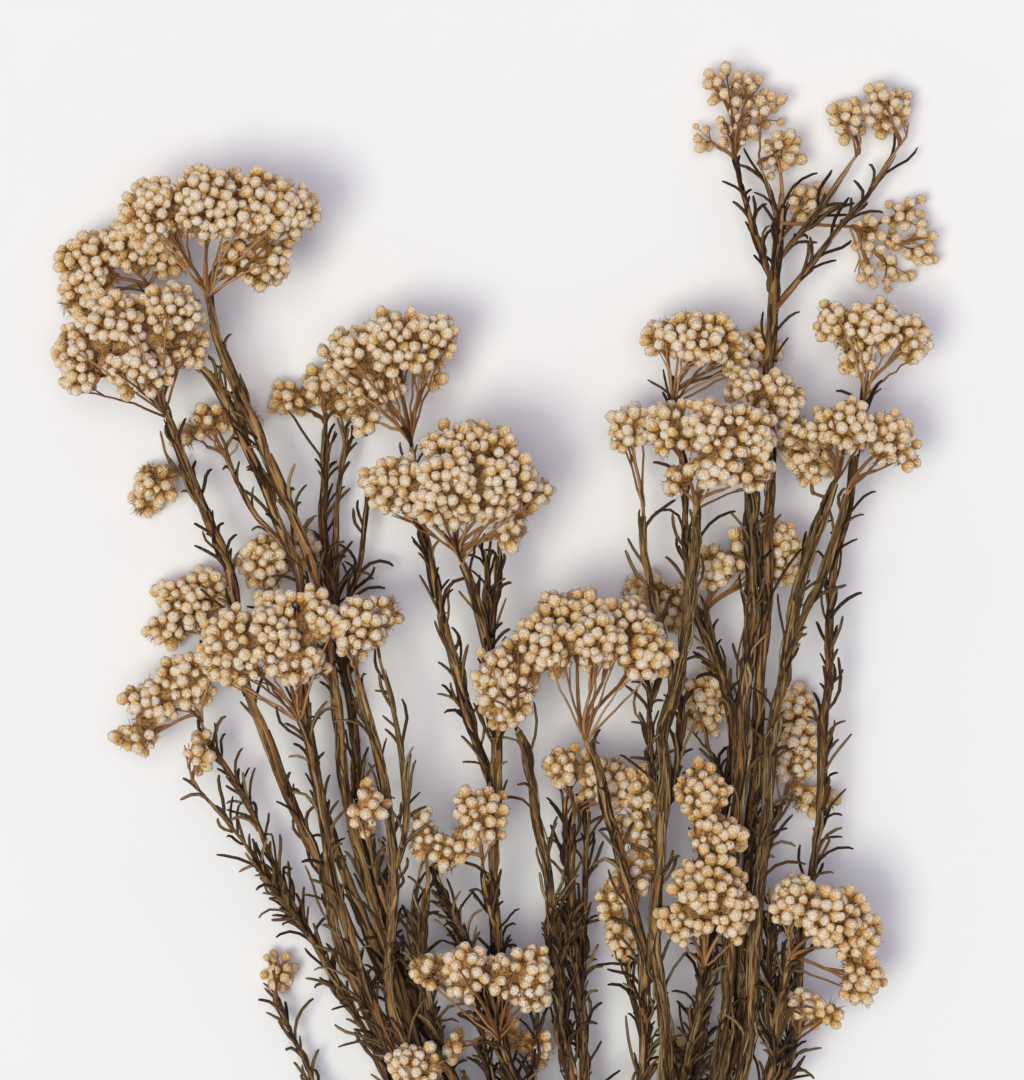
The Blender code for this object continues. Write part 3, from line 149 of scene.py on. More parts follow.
# For each stem: leaves and strands to the millimetre, how thick the strands lie on it, how pale they
# are, how orange its bark is, and the share of its radius that is bark
LEAF_HABITS = {1: (0.20, 0.30, 0.5, 0.36, 0.66, 0.95), 2: (0.22, 0.30, 0.5, 0.32, 0.70, 0.95),
               3: (0.32, 0.40, 0.7, 0.32, 0.55, 0.92), 4: (0.44, 0.55, 0.9, 0.28, 0.46, 0.84),
               5: (0.34, 0.55, 1.0, 0.30, 0.64, 0.88), 7: (0.34, 0.60, 1.0, 0.48, 0.66, 0.88),
               8: (0.52, 0.30, 0.4, 0.40, 0.55, 0.64), 9: (0.36, 0.75, 1.2, 0.40, 0.58, 0.86),
               10: (0.36, 0.75, 1.2, 0.34, 0.58, 0.86), 12: (0.36, 1.00, 2.3, 0.36, 0.50, 0.88),
               13: (0.16, 1.00, 2.0, 0.47, 0.66, 0.86), 14: (0.30, 0.85, 1.5, 0.32, 0.42, 0.86),
               15: (0.16, 0.90, 1.8, 0.40, 0.62, 0.86), 16: (0.26, 0.50, 0.8, 0.20, 0.58, 0.82),
               17: (0.20, 1.00, 1.9, 0.47, 0.52, 0.86), 18: (0.36, 0.30, 0.5, 0.24, 0.52, 0.88),
               20: (0.16, 1.00, 1.8, 0.40, 0.55, 0.86)}
USUAL_HABIT = (0.30, 0.50, 0.9, 0.36, 0.55, 0.90)
# Dark curled leaves to the millimetre of a stem in the thicket low between the stems; their number and dark
# tone are partly painted shade there
THICKET = {4: 0.15, 5: 0.3, 6: 0.15, 7: 0.15, 9: 0.25, 10: 0.5, 11: 0.4, 12: 0.4, 14: 0.6, 16: 0.4,
           19: 0.7, 20: 0.7}
THICKET_Y = 108.0, 175.0
# How pale the thicket leaves are: dark, partly painted shade low between the stems
THICKET_PALE_AND_SHADE = 0.22

# Colours from low to high share, and where each lies
COLORS = {
    "Dry_bud": ((0.0, (0.62, 0.295, 0.066)), (0.3, (0.79, 0.49, 0.185)), (0.55, (0.91, 0.675, 0.38)),
                (0.82, (0.97, 0.855, 0.715))),
    "Husks": ((0.1, (0.24, 0.10, 0.028)), (0.4, (0.52, 0.262, 0.086)), (0.7, (0.71, 0.44, 0.19)),
              (1.0, (0.85, 0.65, 0.38))),
    "Stalk": ((0.1, (0.13, 0.052, 0.018)), (0.5, (0.29, 0.132, 0.046)), (0.9, (0.47, 0.27, 0.115))),
    "Bark": ((0.05, (0.040, 0.018, 0.007)), (0.35, (0.140, 0.062, 0.020)), (0.6, (0.31, 0.155, 0.052)),
             (0.85, (0.46, 0.29, 0.12))),
    "Dry_leaf": ((0.0, (0.028, 0.012, 0.006)), (0.3, (0.084, 0.043, 0.018)), (0.6, (0.21, 0.134, 0.055)),
                 (0.95, (0.38, 0.27, 0.13))),
    "Twine": ((0.1, (0.20, 0.13, 0.06)), (0.5, (0.42, 0.30, 0.16)), (0.9, (0.62, 0.48, 0.30))),
    "Cut_wood": ((0.10, (0.20, 0.10, 0.04)), (0.2, (0.58, 0.42, 0.23)), (0.72, (0.50, 0.34, 0.17)),
                 (0.93, (0.16, 0.08, 0.035))),
    "Paper": ((0.3, (0.875, 0.875, 0.885)), (0.7, (0.885, 0.885, 0.893))),
}
# Soft lights: name, the side that each comes from, angular size, strength and colour
LIGHTS = (
    ("Key", (-0.31, -0.24, 1.0), 0.36, 1.2, (0.97, 1.0, 0.75)),
    ("Overhead", (-0.07, -0.02, 1.0), 0.6, 1.27, (1.0, 0.97, 1.03)),
)
SKY = (1.02, 1.0, 1.28, 1.0)
SKY_STRENGTH = 0.27
VIEW_X, VIEW_Y = -36, 303.3  # the place that the camera looks down on
VIEW_HEIGHT = 2.037  # in metres, as are the next
FLOOR_HALF = 3

# Each stem: routes of (radius at the foot, radius at the top, points from the top down).
# The first route runs down into the tie, and the others join it at their last point.
# A point is (x, y) or (x, y, z); heights in between are filled in and then settled.
STEMS = (
    # 1, to the head at the top left
    ((2.1, 1.5, ((-138, 386, 38), (-134, 370), (-126, 350), (-118, 332), (-111, 315), (-106, 303),
      (-101, 290, 26), (-97, 262), (-95, 250), (-92, 220), (-88, 200), (-82, 180), (-76, 160), (-70, 140),
      (-64, 118, 20))),),
    # 2, to the head below it, with two low side heads
    ((2.0, 1.4, ((-158, 388, 21), (-150, 376), (-145, 365), (-137, 358), (-131, 348, 26), (-125, 335),
      (-119, 322), (-114, 308), (-108, 295, 30), (-106, 275), (-106, 255), (-104, 235), (-100, 215),
      (-94, 195), (-87, 178), (-80, 160), (-72, 140), (-66, 118, 10))),
     (1.1, 0.9, ((-133, 332, 13), (-128, 322), (-121, 310), (-110, 298))),
     (1.0, 0.9, ((-118, 284, 17), (-112, 275), (-106, 266)))),
    # 3, to the wide head on the left, with two low side heads
    ((2.0, 1.4, ((-153, 348, 28), (-150, 341), (-146, 330), (-141, 318), (-137, 308, 24), (-133, 300),
      (-130, 290), (-128, 270), (-125, 253, 26), (-119, 240), (-115, 228), (-110, 215), (-104, 202),
      (-98, 188), (-95, 172), (-90, 158), (-83, 142), (-72, 118, 24))),
     (1.0, 0.9, ((-147, 327, 11), (-144, 321), (-138, 312))),
     (1.1, 0.9, ((-139, 271, 13), (-134, 265), (-126, 258)))),
    # 4, dark stem with a small low head and two leafy shoots
    ((2.0, 1.2, ((-99, 343, 12), (-99, 325), (-100, 310), (-98, 295, 14), (-96, 280), (-93, 262),
      (-90, 245), (-88, 225), (-85, 205), (-82, 190), (-78, 172), (-72, 155), (-65, 138), (-56, 118, 12))),
     (1.3, 0.9, ((-91, 341, 14), (-94, 325), (-95, 310), (-93, 292), (-92, 278))),
     (1.2, 0.8, ((-84, 322, 15), (-86, 305), (-87, 287), (-89, 272)))),
    # 5, to the sharp head in the middle, the head behind it and a small one lower down
    ((2.1, 1.4, ((-54, 299, 44), (-50, 290), (-47, 280), (-44, 268), (-42, 255), (-41, 238, 38), (-41, 222),
      (-42, 200, 28), (-42, 185), (-41, 170), (-40, 150), (-37, 118, 24))),
     (2.0, 1.4, ((-70, 338, 31), (-68, 320), (-65, 303), (-62, 290), (-59, 275), (-55, 260), (-52, 245),
      (-48, 232), (-43, 216))),
     (1.1, 0.9, ((-46, 198, 42), (-45, 186), (-42, 172)))),
    # 6, to the long front head on the left
    ((2.0, 1.4, ((-107, 245, 44), (-104, 238), (-101, 225), (-98, 205), (-96, 190), (-91, 175), (-87, 160),
      (-83, 150), (-77, 135), (-69, 118, 34))),),
    # 7, to the head on its right, with a leafy shoot and a small head
    ((2.0, 1.3, ((-88, 261, 43), (-85, 248), (-82, 238), (-79, 225), (-77, 210), (-75, 195), (-76, 180),
      (-77, 165), (-77, 150), (-72, 135), (-62, 118, 32))),
     (1.2, 0.9, ((-80, 264, 42), (-76, 250), (-74, 240), (-72, 225), (-71, 210), (-75, 192))),
     (1.0, 0.9, ((-83, 201, 42), (-81, 190), (-77, 176)))),
    # 8, far left leafy stem, with its leafy twin and a thin low shoot
    ((2.0, 1.1, ((-141, 244, 20), (-138, 236), (-131, 225), (-124, 213), (-118, 198), (-112, 185),
      (-105, 172), (-97, 157), (-90, 145), (-84, 135), (-76, 118, 14))),
     (1.2, 0.9, ((-143, 222, 26), (-135, 213), (-125, 200), (-118, 190), (-112, 181), (-100, 165),
      (-92, 154), (-80, 132))),
     (1.0, 0.8, ((-116, 147, 11), (-112, 140), (-107, 130), (-103, 120), (-90, 98), (-55, 56)))),
    # 9, to the pair of small heads and the head at the lower edge
    ((2.0, 1.2, ((-64, 191, 34), (-65, 180), (-66, 165), (-64, 150), (-61, 135), (-53, 118, 28))),
     (1.1, 0.9, ((-69, 118, 40), (-60, 106), (-51, 94)))),
    # 10, to the four-part head at the lower middle
    ((2.0, 1.2, ((-41, 139, 35), (-38, 130), (-33, 118, 34))),),
    # 11, to the front head right of the middle, with a low head beside it
    ((2.0, 1.4, ((-12, 238, 48), (-8, 230), (-5, 215), (-1, 203), (2, 190), (5, 178), (8, 165), (8, 150),
      (8, 130), (6, 118, 32))),
     (1.1, 0.9, ((3, 157, 22), (5, 148), (8, 138)))),
    # 12, dark stem left of it, with the small heads behind
    ((2.0, 1.2, ((-36, 243, 38), (-33, 238), (-30, 225), (-28, 210), (-25, 198), (-23, 180), (-21, 165),
      (-20, 150), (-18, 130), (-15, 118, 24))),
     (1.6, 1.2, ((-15, 212, 20), (-16, 200), (-16, 185), (-15, 165), (-13, 150), (-12, 135), (-11, 104)))),
    # 13, leafy stem in front, with the head at its left
    ((2.0, 1.5, ((25, 315, 45), (25, 305), (24, 295), (23, 285), (21, 268), (17, 250), (14, 240), (15, 228),
      (14, 210, 45), (13, 195), (12, 180), (11, 165), (14, 150), (15, 130), (15, 118, 38))),
     (1.5, 1.1, ((8, 315, 24), (8, 300), (10, 290), (12, 275), (16, 254)))),
    # 14, low stem behind, carrying three back heads
    ((2.0, 1.2, ((29, 278, 18), (31, 270), (34, 260), (37, 248, 28), (38, 235), (36, 220), (34, 205),
      (32, 190), (30, 170), (28, 150), (27, 130), (23, 118, 14))),
     (1.4, 1.1, ((18, 351, 26), (20, 338), (22, 322), (22, 303, 27), (23, 288, 28), (27, 272), (34, 254))),
     (1.0, 0.8, ((30, 234, 11), (33, 228), (36, 218)))),
    # 15, thick straight stem right of the middle
    ((2.1, 1.8, ((45, 340, 30), (44, 318), (44, 300, 36), (44, 280), (42, 260), (41, 240), (40, 220),
      (38, 205, 34), (37, 190), (37, 165), (35, 140), (32, 118, 28))),),
    # 16, the tall dark stem to the loose heads at the top right
    ((2.1, 1.7, ((55, 420, 15), (53, 400, 21), (52, 385), (51, 370, 24), (50, 358), (50, 345, 24),
      (51, 330), (50, 315), (49, 300, 36), (49, 280), (47, 260), (46, 240), (45, 215), (43, 200, 26),
      (42, 185), (41, 165), (40, 140), (35, 118, 20))),
     (1.3, 0.9, ((39, 432, 13), (42, 420), (46, 405), (52, 388))),
     (1.1, 0.9, ((47, 430, 19), (51, 420), (54, 408))),
     (1.2, 0.9, ((81, 434, 12), (75, 425), (66, 412), (54, 396))),
     (1.3, 0.9, ((95, 437, 13), (92, 432), (84, 420), (74, 408), (64, 395), (52, 380)))),
    # 17, olive stem to the right head, with a shoot and a low back head
    ((2.0, 1.4, ((73, 326, 36), (70, 318), (65, 305), (60, 290), (57, 275), (55, 262), (52, 245), (50, 230),
      (49, 215), (48, 200, 38), (46, 185), (45, 170), (44, 150), (42, 130), (39, 118, 34))),
     (1.5, 1.2, ((77, 322, 34), (73, 308), (70, 299), (66, 287), (62, 278), (56, 264))),
     (1.0, 0.8, ((56, 215, 9), (53, 210), (49, 198)))),
    # 18, the right-most stem
    ((2.0, 1.3, ((82, 353, 28), (80, 340), (78, 325, 26), (76, 312), (73, 300), (71, 285), (70, 270),
      (70, 255, 28), (68, 240), (68, 225), (67, 210), (65, 195), (63, 180), (61, 165), (60, 150), (57, 130),
      (53, 118, 22))),),
    # 19, to the drooping head at the lower right
    ((2.0, 1.1, ((56, 163, 36), (54, 152), (52, 140), (51, 128), (47, 118, 30))),
     (1.2, 0.9, ((60, 138, 26), (56, 125), (47, 106)))),
    # 20, to the long front head in the lower middle right
    ((2.0, 1.2, ((28, 161, 38), (27, 150), (24, 135), (20, 118, 26))),
     (1.0, 0.8, ((19, 123, 11), (18, 117), (14, 103)))),
)

# Short thin side twigs that run across: (stem, start on it, end)
TWIGS = (
    (16, (54, 410, 18), (79, 409, 13)),
    (16, (54, 404, 20), (58, 409, 10)),
    (17, (70, 317, 35), (65, 319, 25)),
)

# Thin leafy shoots beside the stems: the stem that carries each, how far it lies above that stem, how
# orange its bark is, and its points from the top down
SIDE_SHOOTS = (
    (5, -3, 0.5, ((-40, 302), (-41, 290), (-42.5, 275), (-43, 262), (-41.5, 243))),
    (5, -5, 0.35, ((-45, 300), (-44, 288), (-44, 272), (-42, 250))),
    (9, -8, 0.6, ((-66, 194), (-68.5, 185), (-69, 176), (-67.5, 163), (-64, 148))),
    (10, -6, 0.35, ((-62, 190), (-57, 180), (-52, 169), (-46, 155), (-41, 142), (-37, 130))),
    (10, -4, 0.9, ((-63, 195), (-59, 186), (-54, 175), (-50, 166), (-44, 152), (-40, 138))),
    (10, -8, 0.35, ((-48, 150), (-45.5, 138), (-44, 126), (-41, 112), (-35, 96))),
    (10, -9, 0.35, ((-27, 150), (-28, 138), (-29, 126), (-30, 112), (-30, 98))),
    (12, -1, 0.3, ((-18, 217), (-18, 200), (-17, 185), (-15.5, 168), (-13, 150))),
    (12, -2, 0.35, ((-10, 216), (-11, 200), (-11.5, 185), (-12, 168), (-12, 148))),
    (13, -2, 0.3, ((10.5, 256), (9.8, 247), (9.8, 238), (10.5, 226), (13.5, 208))),
    (13, -4, 0.35, ((19.5, 258), (20, 248), (19.8, 238), (18.5, 226), (15, 208))),
    (19, -6, 0.35, ((50, 187), (50, 175), (50, 160), (49.5, 146), (50.5, 130))),
)
SHOOT_LEAVES = 0.45, 0.8, 1.0, 0.24  # as the first values of a habit
SHOOT_BARK_SHARE = 0.95
SHOOT_RADII = 1.15, 0.7
SHOOT_PARTING = 14.0  # length over which a shoot leaves its stem

# Each head: where its branchlets part (one or more forks), and its lobes.
# A lobe is an ellipsoid: x, y, z and its three radii.
HEADS = (
    # 1 to 5: the big umbrella at the top left in two parts, the wide head below, two small ones
    (((-138, 386, 38),), ((-153, 412, 42, 13, 12, 13), (-137, 415, 46, 15, 13, 14),
     (-119, 414, 45, 15, 13, 13), (-108, 413, 42, 9, 9, 10), (-121, 397, 39, 13, 10, 9))),
    (((-158, 388, 21),), ((-178, 394, 20, 12, 13, 12), (-165, 401, 23, 12, 10, 12),
     (-152, 398, 20, 8, 8, 9), (-183, 383, 16, 6, 6, 7))),
    (((-153, 348, 28),), ((-150, 379, 42, 13, 11, 12), (-167, 374, 42, 14, 12, 13),
     (-179, 364, 38, 11, 13, 12), (-161, 361, 44, 14, 10, 12), (-145, 369, 36, 8, 9, 9))),
    (((-133, 332, 13),), ((-139, 344, 10, 8, 7, 8), (-127, 345, 11, 7, 7, 8), (-146, 338, 8, 5, 5, 6))),
    (((-147, 327, 11),), ((-156, 322, 8, 8, 8, 9), (-160, 316, 5, 6, 5, 6))),
    # 6 to 8: left of the middle, a low one beside it, and the sharp head in the middle
    (((-70, 338, 31),), ((-90, 365, 32, 10, 10, 10), (-76, 369, 36, 12, 12, 12), (-62, 371, 34, 9, 9, 10),
     (-82, 355, 32, 12, 10, 10), (-64, 361, 28, 7, 8, 8), (-85, 344, 28, 6, 7, 7))),
    (((-99, 343, 12),), ((-110, 351, 8, 8, 7, 8), (-100, 354, 9, 9, 8, 10), (-93, 351, 8, 7, 7, 8))),
    (((-54, 299, 44),), ((-73, 321, 50, 14, 10, 12), (-57, 320, 58, 14, 14, 14), (-41, 322, 54, 13, 14, 13),
     (-50, 334, 50, 18, 9, 12), (-30, 319, 44, 8, 8, 9), (-37, 307, 46, 7, 7, 7))),
    # 9 to 14: the front row on the left and the low heads round it
    (((-139, 271, 13),), ((-146, 283, 10, 12, 10, 11), (-152, 274, 8, 8, 8, 9), (-138, 286, 10, 8, 8, 9))),
    (((-107, 245, 44),), ((-128, 268, 48, 12, 14, 11), (-113, 273, 50, 12, 14, 12),
     (-101, 278, 48, 9, 10, 11), (-107, 263, 50, 11, 8, 9))),
    (((-88, 261, 43),), ((-87, 275, 47, 10, 11, 10), (-78, 279, 45, 6, 7, 8))),
    (((-141, 244, 20),), ((-145, 256, 30, 11, 10, 10), (-157, 249, 28, 10, 9, 9),
     (-161, 238, 25, 8, 7, 7))),
    (((-143, 222, 26),), ((-141, 232, 29, 5, 9, 6),)),
    (((-118, 284, 17),), ((-119, 296, 17, 9, 10, 9), (-107, 300, 14, 6, 8, 8))),
    # 15 to 19: the lower left
    (((-83, 201, 42),), ((-84, 214, 46, 6.5, 11, 7),)),
    (((-64, 191, 34), (-46, 198, 42)), ((-66, 205, 38, 6, 9, 7), (-57, 200, 39, 9, 8, 8),
     (-47, 211, 45, 10, 11, 9))),
    (((-41, 139, 35),), ((-51, 159, 44, 9, 11, 9), (-40, 158, 42, 8, 8, 7), (-30, 158, 43, 9, 12, 9),
     (-65, 161, 42, 7, 7, 6))),
    (((-69, 118, 40),), ((-70, 129, 46, 9, 8, 7), (-62, 127, 44, 5, 6, 6))),
    (((-116, 147, 11),), ((-115, 157, 8, 7, 8, 8),)),
    # 20 and 21: the front head right of the middle and the small ones under it
    (((-12, 238, 48), (-36, 243, 38)), ((-37, 257, 52, 12, 14, 12), (-24, 268, 55, 13, 11, 13),
     (-8, 270, 57, 13, 10, 13), (7, 267, 52, 11, 11, 12), (-16, 279, 46, 13, 9, 11),
     (1, 277, 46, 11, 8, 11), (-40, 247, 48, 8, 7, 8))),
    (((-15, 212, 20),), ((-19, 228, 28, 7, 8, 7), (-9, 225, 26, 6, 8, 7), (-2, 221, 28, 6, 11, 8))),
    # 22 to 25: the loose heads at the top right
    (((39, 432, 13), (47, 430, 19), (55, 420, 15)), ((38, 456, 11, 11, 8, 9), (48, 448, 13, 9, 8, 8),
     (41, 442, 13, 11, 8, 8), (54, 434, 14, 8, 10, 8), (29, 439, 9, 5, 6, 6))),
    (((81, 434, 12), (95, 437, 13)), ((79, 446, 9, 8, 8, 8), (90, 449, 10, 10, 9, 10))),
    (((58, 409, 10),), ((64, 418, 8, 8, 8, 9),)),
    (((79, 409, 13),), ((86, 407, 9, 7, 8, 8), (92, 395, 7, 8, 7, 7), (85, 394, 7, 6, 6, 6),
     (98, 412, 8, 8, 9, 8), (101, 402, 8, 7, 9, 8), (93, 405, 8, 7, 7, 7))),
    # 26 to 31: the upper right
    (((18, 351, 26),), ((15, 371, 28, 8, 8, 9), (28, 371, 32, 12, 10, 11), (37, 366, 25, 8, 9, 9),
     (47, 367, 11, 9, 9, 9))),
    (((82, 353, 28),), ((72, 376, 30, 8, 8, 8), (85, 374, 34, 12, 10, 11), (97, 371, 30, 8, 10, 10),
     (80, 364, 30, 7, 7, 8))),
    (((8, 315, 24),), ((3, 341, 27, 8, 9, 8),)),
    (((25, 315, 45),), ((17, 341, 44, 9, 10, 10), (29, 339, 50, 12, 12, 12), (42, 338, 50, 10, 12, 11),
     (32, 328, 50, 12, 8, 9), (45, 326, 47, 8, 7, 8), (19, 322, 41, 6, 7, 6))),
    (((45, 340, 30),), ((42, 354, 37, 8, 7, 8), (53, 351, 37, 9, 9, 8))),
    (((73, 326, 36), (77, 322, 34), (65, 319, 25)), ((76, 341, 42, 10, 10, 10), (68, 338, 37, 8, 9, 9),
     (89, 337, 36, 9, 10, 9), (94, 331, 33, 6, 6, 7), (59, 338, 30, 9, 9, 9), (64, 330, 28, 9, 8, 9))),
    # 32 to 34: behind the straight stems
    (((29, 278, 18),), ((33, 294, 21, 8, 9, 9), (41, 300, 22, 6, 8, 8), (54, 298, 21, 8, 12, 9),
     (46, 296, 19, 8, 7, 7), (9, 287, 9, 8, 7, 10), (19, 281, 10, 9, 9, 11))),
    (((30, 234, 11),), ((29, 249, 11, 9, 12, 12),)),
    (((56, 215, 9),), ((60, 247, 9, 7, 9, 9), (59, 233, 11, 10, 12, 12), (66, 216, 7, 9, 6, 7))),
    # 35 to 39: the lower right
    (((28, 161, 38),), ((27, 219, 46, 10, 11, 10), (32, 204, 48, 10, 11, 9), (27, 188, 50, 11, 11, 11),
     (37, 182, 48, 8, 13, 10), (22, 177, 47, 10, 9, 10))),
    (((3, 157, 22),), ((8, 219, 30, 7, 9, 8), (6, 206, 29, 8, 9, 8), (7, 193, 29, 7, 10, 8),
     (-2, 184, 28, 7, 9, 7), (1, 171, 28, 6, 9, 7))),
    (((56, 163, 36),), ((58, 184, 42, 9, 10, 10), (69, 179, 43, 13, 11, 11), (79, 172, 38, 9, 12, 10),
     (80, 158, 34, 8, 10, 8))),
    (((60, 138, 26),), ((61, 147, 30, 9, 7, 8), (70, 145, 28, 5, 5, 6))),
    (((19, 123, 11),), ((18, 132, 7, 6, 7, 7),)),
)

# Shaded buds deep between the stems, which belong to the head of that number
DEEP_LOBES = {17: ((-38, 137, 24, 7, 7, 6), (-27, 133, 23, 7, 8, 6), (-55, 134, 33, 5, 7, 5))}


def smooth_through(ys, values, at):
    """A curve through the values at rising ys, with slopes from the neighbours on both sides."""
    slopes = np.gradient(values, ys)
    index = np.clip(np.searchsorted(ys, at) - 1, 0, len(ys) - 2)
    span = ys[index + 1] - ys[index]
    t = np.clip((at - ys[index]) / span, 0, 1)
    rest = 1 - t
    return (values[index] * rest * rest * (1 + 2 * t) + values[index + 1] * t * t * (3 - 2 * t)
            + slopes[index] * span * t * rest * rest - slopes[index + 1] * span * t * t * rest)


def tie_slots(count):
    """The places of the stems in the tie: the points of a hexagonal grid nearest its middle."""
    row_height = SLOT_PITCH * math.sqrt(3) / 2
    grid = []
    for row in range(-4, 5):
        for column in range(-4, 5):
            x = (column + 0.5 * (row % 2) + 0.25) * SLOT_PITCH
            z = (row + 0.2) * row_height
            grid.append((math.hypot(x, z), x, z))
    chosen = sorted(grid)[:count]
    return [(x, z) for _, x, z in chosen], chosen[-1][0]


SLOTS, SLOT_REACH = tie_slots(len(STEMS))
BUNDLE_RADIUS = SLOT_REACH + max(stem[0][0] for stem in STEMS)
TIE_INNER = (BUNDLE_RADIUS + BUNDLE_ROOM) / math.cos(math.pi / TIE_SIDES)
TIE_Z = TIE_INNER + TIE_THICKNESS - PRESSED


def slots_for(feet):
    """Gives each stem a slot, so that stems keep their order from left to right and in height."""
    order = sorted(range(len(feet)), key=lambda i: feet[i][0])
    slots = sorted(SLOTS)
    given = {}
    for first in range(0, len(order), 4):
        stems = sorted(order[first:first + 4], key=lambda i: feet[i][1])
        places = sorted(slots[first:first + 4], key=lambda place: place[1])
        given.update(zip(stems, places))
    return given


class Route:
    """One stem or shoot, as its place and radius at each level of Y that it reaches."""

    def __init__(self, stem, main, radii, points):
        self.stem, self.main, self.radii = stem, main, radii
        self.points = sorted(points, key=lambda point: point[1])
        self.ys = np.array([point[1] for point in self.points], float)
        self.top = self.points[-1]
        self.foot_y = CUT_Y + CUT_STAGGER * math.sin(2.4 * stem) if main else self.ys[0]

    def aim(self, levels, slot, parent):
        """Fills in the wanted place at every level, before the stems settle against each other."""
        known = [(point[1], point[2]) for point in self.points if len(point) == 3]
        x = smooth_through(self.ys, np.array([point[0] for point in self.points], float), levels)
        if self.main:
            known_y, known_z = zip(*known)
            z = np.interp(levels, known_y, known_z)
            below = levels < self.ys[0]
            blend = np.clip((self.ys[0] - levels) / (self.ys[0] - TIE_Y - SLOT_STRAIGHT), 0, 1)
            slope = (self.points[1][0] - self.points[0][0]) / (self.ys[1] - self.ys[0])
            straight_on = self.points[0][0] - slope * (self.ys[0] - levels)
            keep = np.where(below, 1 - blend * blend * (3 - 2 * blend), 1.0)
            x = np.where(below, straight_on, x) * keep + (TIE_X + slot[0]) * (1 - keep)
            z = z * keep + (TIE_Z + slot[1]) * (1 - keep)
            splay = 1 + SPLAY * np.clip(TIE_Y - SLOT_STRAIGHT - levels, 0, None)
            x = np.where(levels < TIE_Y, TIE_X + slot[0] * splay, x)
            z = np.where(levels < TIE_Y, TIE_Z + slot[1], z)
        else:
            foot_z = np.interp(self.foot_y, levels, parent.z)
            known = [(self.foot_y, foot_z)] + [pair for pair in known if pair[0] > self.foot_y]
            known_y, known_z = zip(*known)
            z = np.interp(levels, known_y, known_z)
            miss = np.interp(self.foot_y, levels, parent.x) - self.points[0][0]
            near = np.clip(1 - (levels - self.foot_y) / (0.6 * (self.top[1] - self.foot_y)), 0, 1)
            x = x + miss * near * near * (3 - 2 * near)
        self.x, self.z = x, z
        along = np.clip((levels - self.foot_y) / (self.top[1] - self.foot_y), 0, 1)
        self.r = self.radii[0] + (self.radii[1] - self.radii[0]) * along
        self.active = (levels >= self.foot_y - 1e-6) & (levels <= self.top[1] + 1e-6)


def settle(routes, levels):
    """Lifts and lowers the stems until each runs clear of the other stems and of the heads."""
    x, z, radii, active = (np.array([getattr(route, name) for route in routes])
                           for name in ("x", "z", "r", "active"))
    wanted_x, wanted_z = x.copy(), z.copy()
    radii = radii * np.sqrt(1 + np.gradient(x, LEVEL, axis=1) ** 2)
    stem = np.array([route.stem for route in routes])
    pinned = np.abs(levels - TIE_Y) <= SLOT_STRAIGHT
    first, second = np.triu_indices(len(routes), 1)
    apart = stem[first] != stem[second]
    first, second = first[apart], second[apart]
    both = active[first] & active[second]
    fanned = np.clip((levels - TIE_Y - SLOT_STRAIGHT) / TIE_REACH, 0, 1)
    reach = radii[first] + radii[second] + (TIE_GAP + (STEM_GAP - TIE_GAP) * fanned)
    free_x = (levels < FANNED_Y) & ~pinned
    low, high = head_walls(routes, levels, x, wanted_z, radii, active)
    inner = active[:, 1:-1] & active[:, 2:] & active[:, :-2] & ~pinned[1:-1]
    for turn in range(SETTLE_ROUNDS):
        dx, dz = x[first] - x[second], z[first] - z[second]
        side = np.where(np.abs(dz) > 0.1, np.sign(dz), np.sign(wanted_z[first] - wanted_z[second] + 1e-3))
        need = np.sqrt(np.clip(reach ** 2 - dx ** 2, 0, None))
        lift = np.where(both, np.clip(need - side * dz, 0, None), 0) * side * 0.5
        distance = np.sqrt(dx ** 2 + dz ** 2) + 1e-6
        overlap = np.where(both, np.clip(reach - distance, 0, None), 0) * 0.5
        move_z = np.where(free_x, overlap * dz / distance, lift)
        move_x = np.where(free_x, overlap * dx / distance, 0)
        for place, move in ((z, move_z), (x, move_x)):
            push = np.zeros_like(place)
            np.add.at(push, first, move)
            np.add.at(push, second, -move)
            place += np.where(pinned, 0, np.clip(push, -LONGEST_PUSH, LONGEST_PUSH))
        if turn < SETTLE_ROUNDS - FINAL_ROUNDS:
            for place, aim, pull, free in ((z, wanted_z, PULL_Z, ~pinned), (x, wanted_x, PULL_X, free_x)):
                bend = place[:, :-2] + place[:, 2:] - 2 * place[:, 1:-1]
                place[:, 1:-1] += np.where(inner & free[1:-1], SMOOTHING * bend, 0)
                place += np.where(free, pull * (aim - place), 0)
        z[:] = np.where(pinned, z, np.minimum(np.maximum(z, low), high))
        for index, route in enumerate(routes):
            if not route.main:
                joint = np.abs(levels - route.foot_y) <= LEVEL / 2
                for place in (z, x):
                    place[index] = np.where(joint, place[route.parent], place[index])
    for index, route in enumerate(routes):
        route.x, route.z = x[index], z[index]


def head_walls(routes, levels, x, wanted, r, active):
    """The lowest and highest height that each stem may have at each level, between the heads."""
    low = r + FLOOR_ROOM
    high = np.full_like(low, 1e3)
    for index, route in enumerate(routes):
        pad = r[index] + HEAD_ROOM
        for forks, lobes in HEADS:
            own = any(math.dist(fork, route.top) < 1 for fork in forks)
            for cx, cy, cz, rx, ry, rz in lobes:
                across = 1 - ((levels - cy) / (ry + pad)) ** 2 - ((x[index] - cx) / (rx + pad)) ** 2
                half = (rz + pad) * np.sqrt(np.clip(across, 0, None))
                hit = active[index] & (half > 0)
                if own:
                    hit &= levels < route.top[1] - OWN_HEAD
                if not hit.any():
                    continue
                no_room_below = cz - half.max() < 2 * r[index].min()
                if wanted[index][hit].mean() > cz or no_room_below:
                    low[index] = np.where(hit, np.maximum(low[index], cz + half), low[index])
                else:
                    high[index] = np.where(hit, np.minimum(high[index], cz - half), high[index])
    return low, np.maximum(high, low)


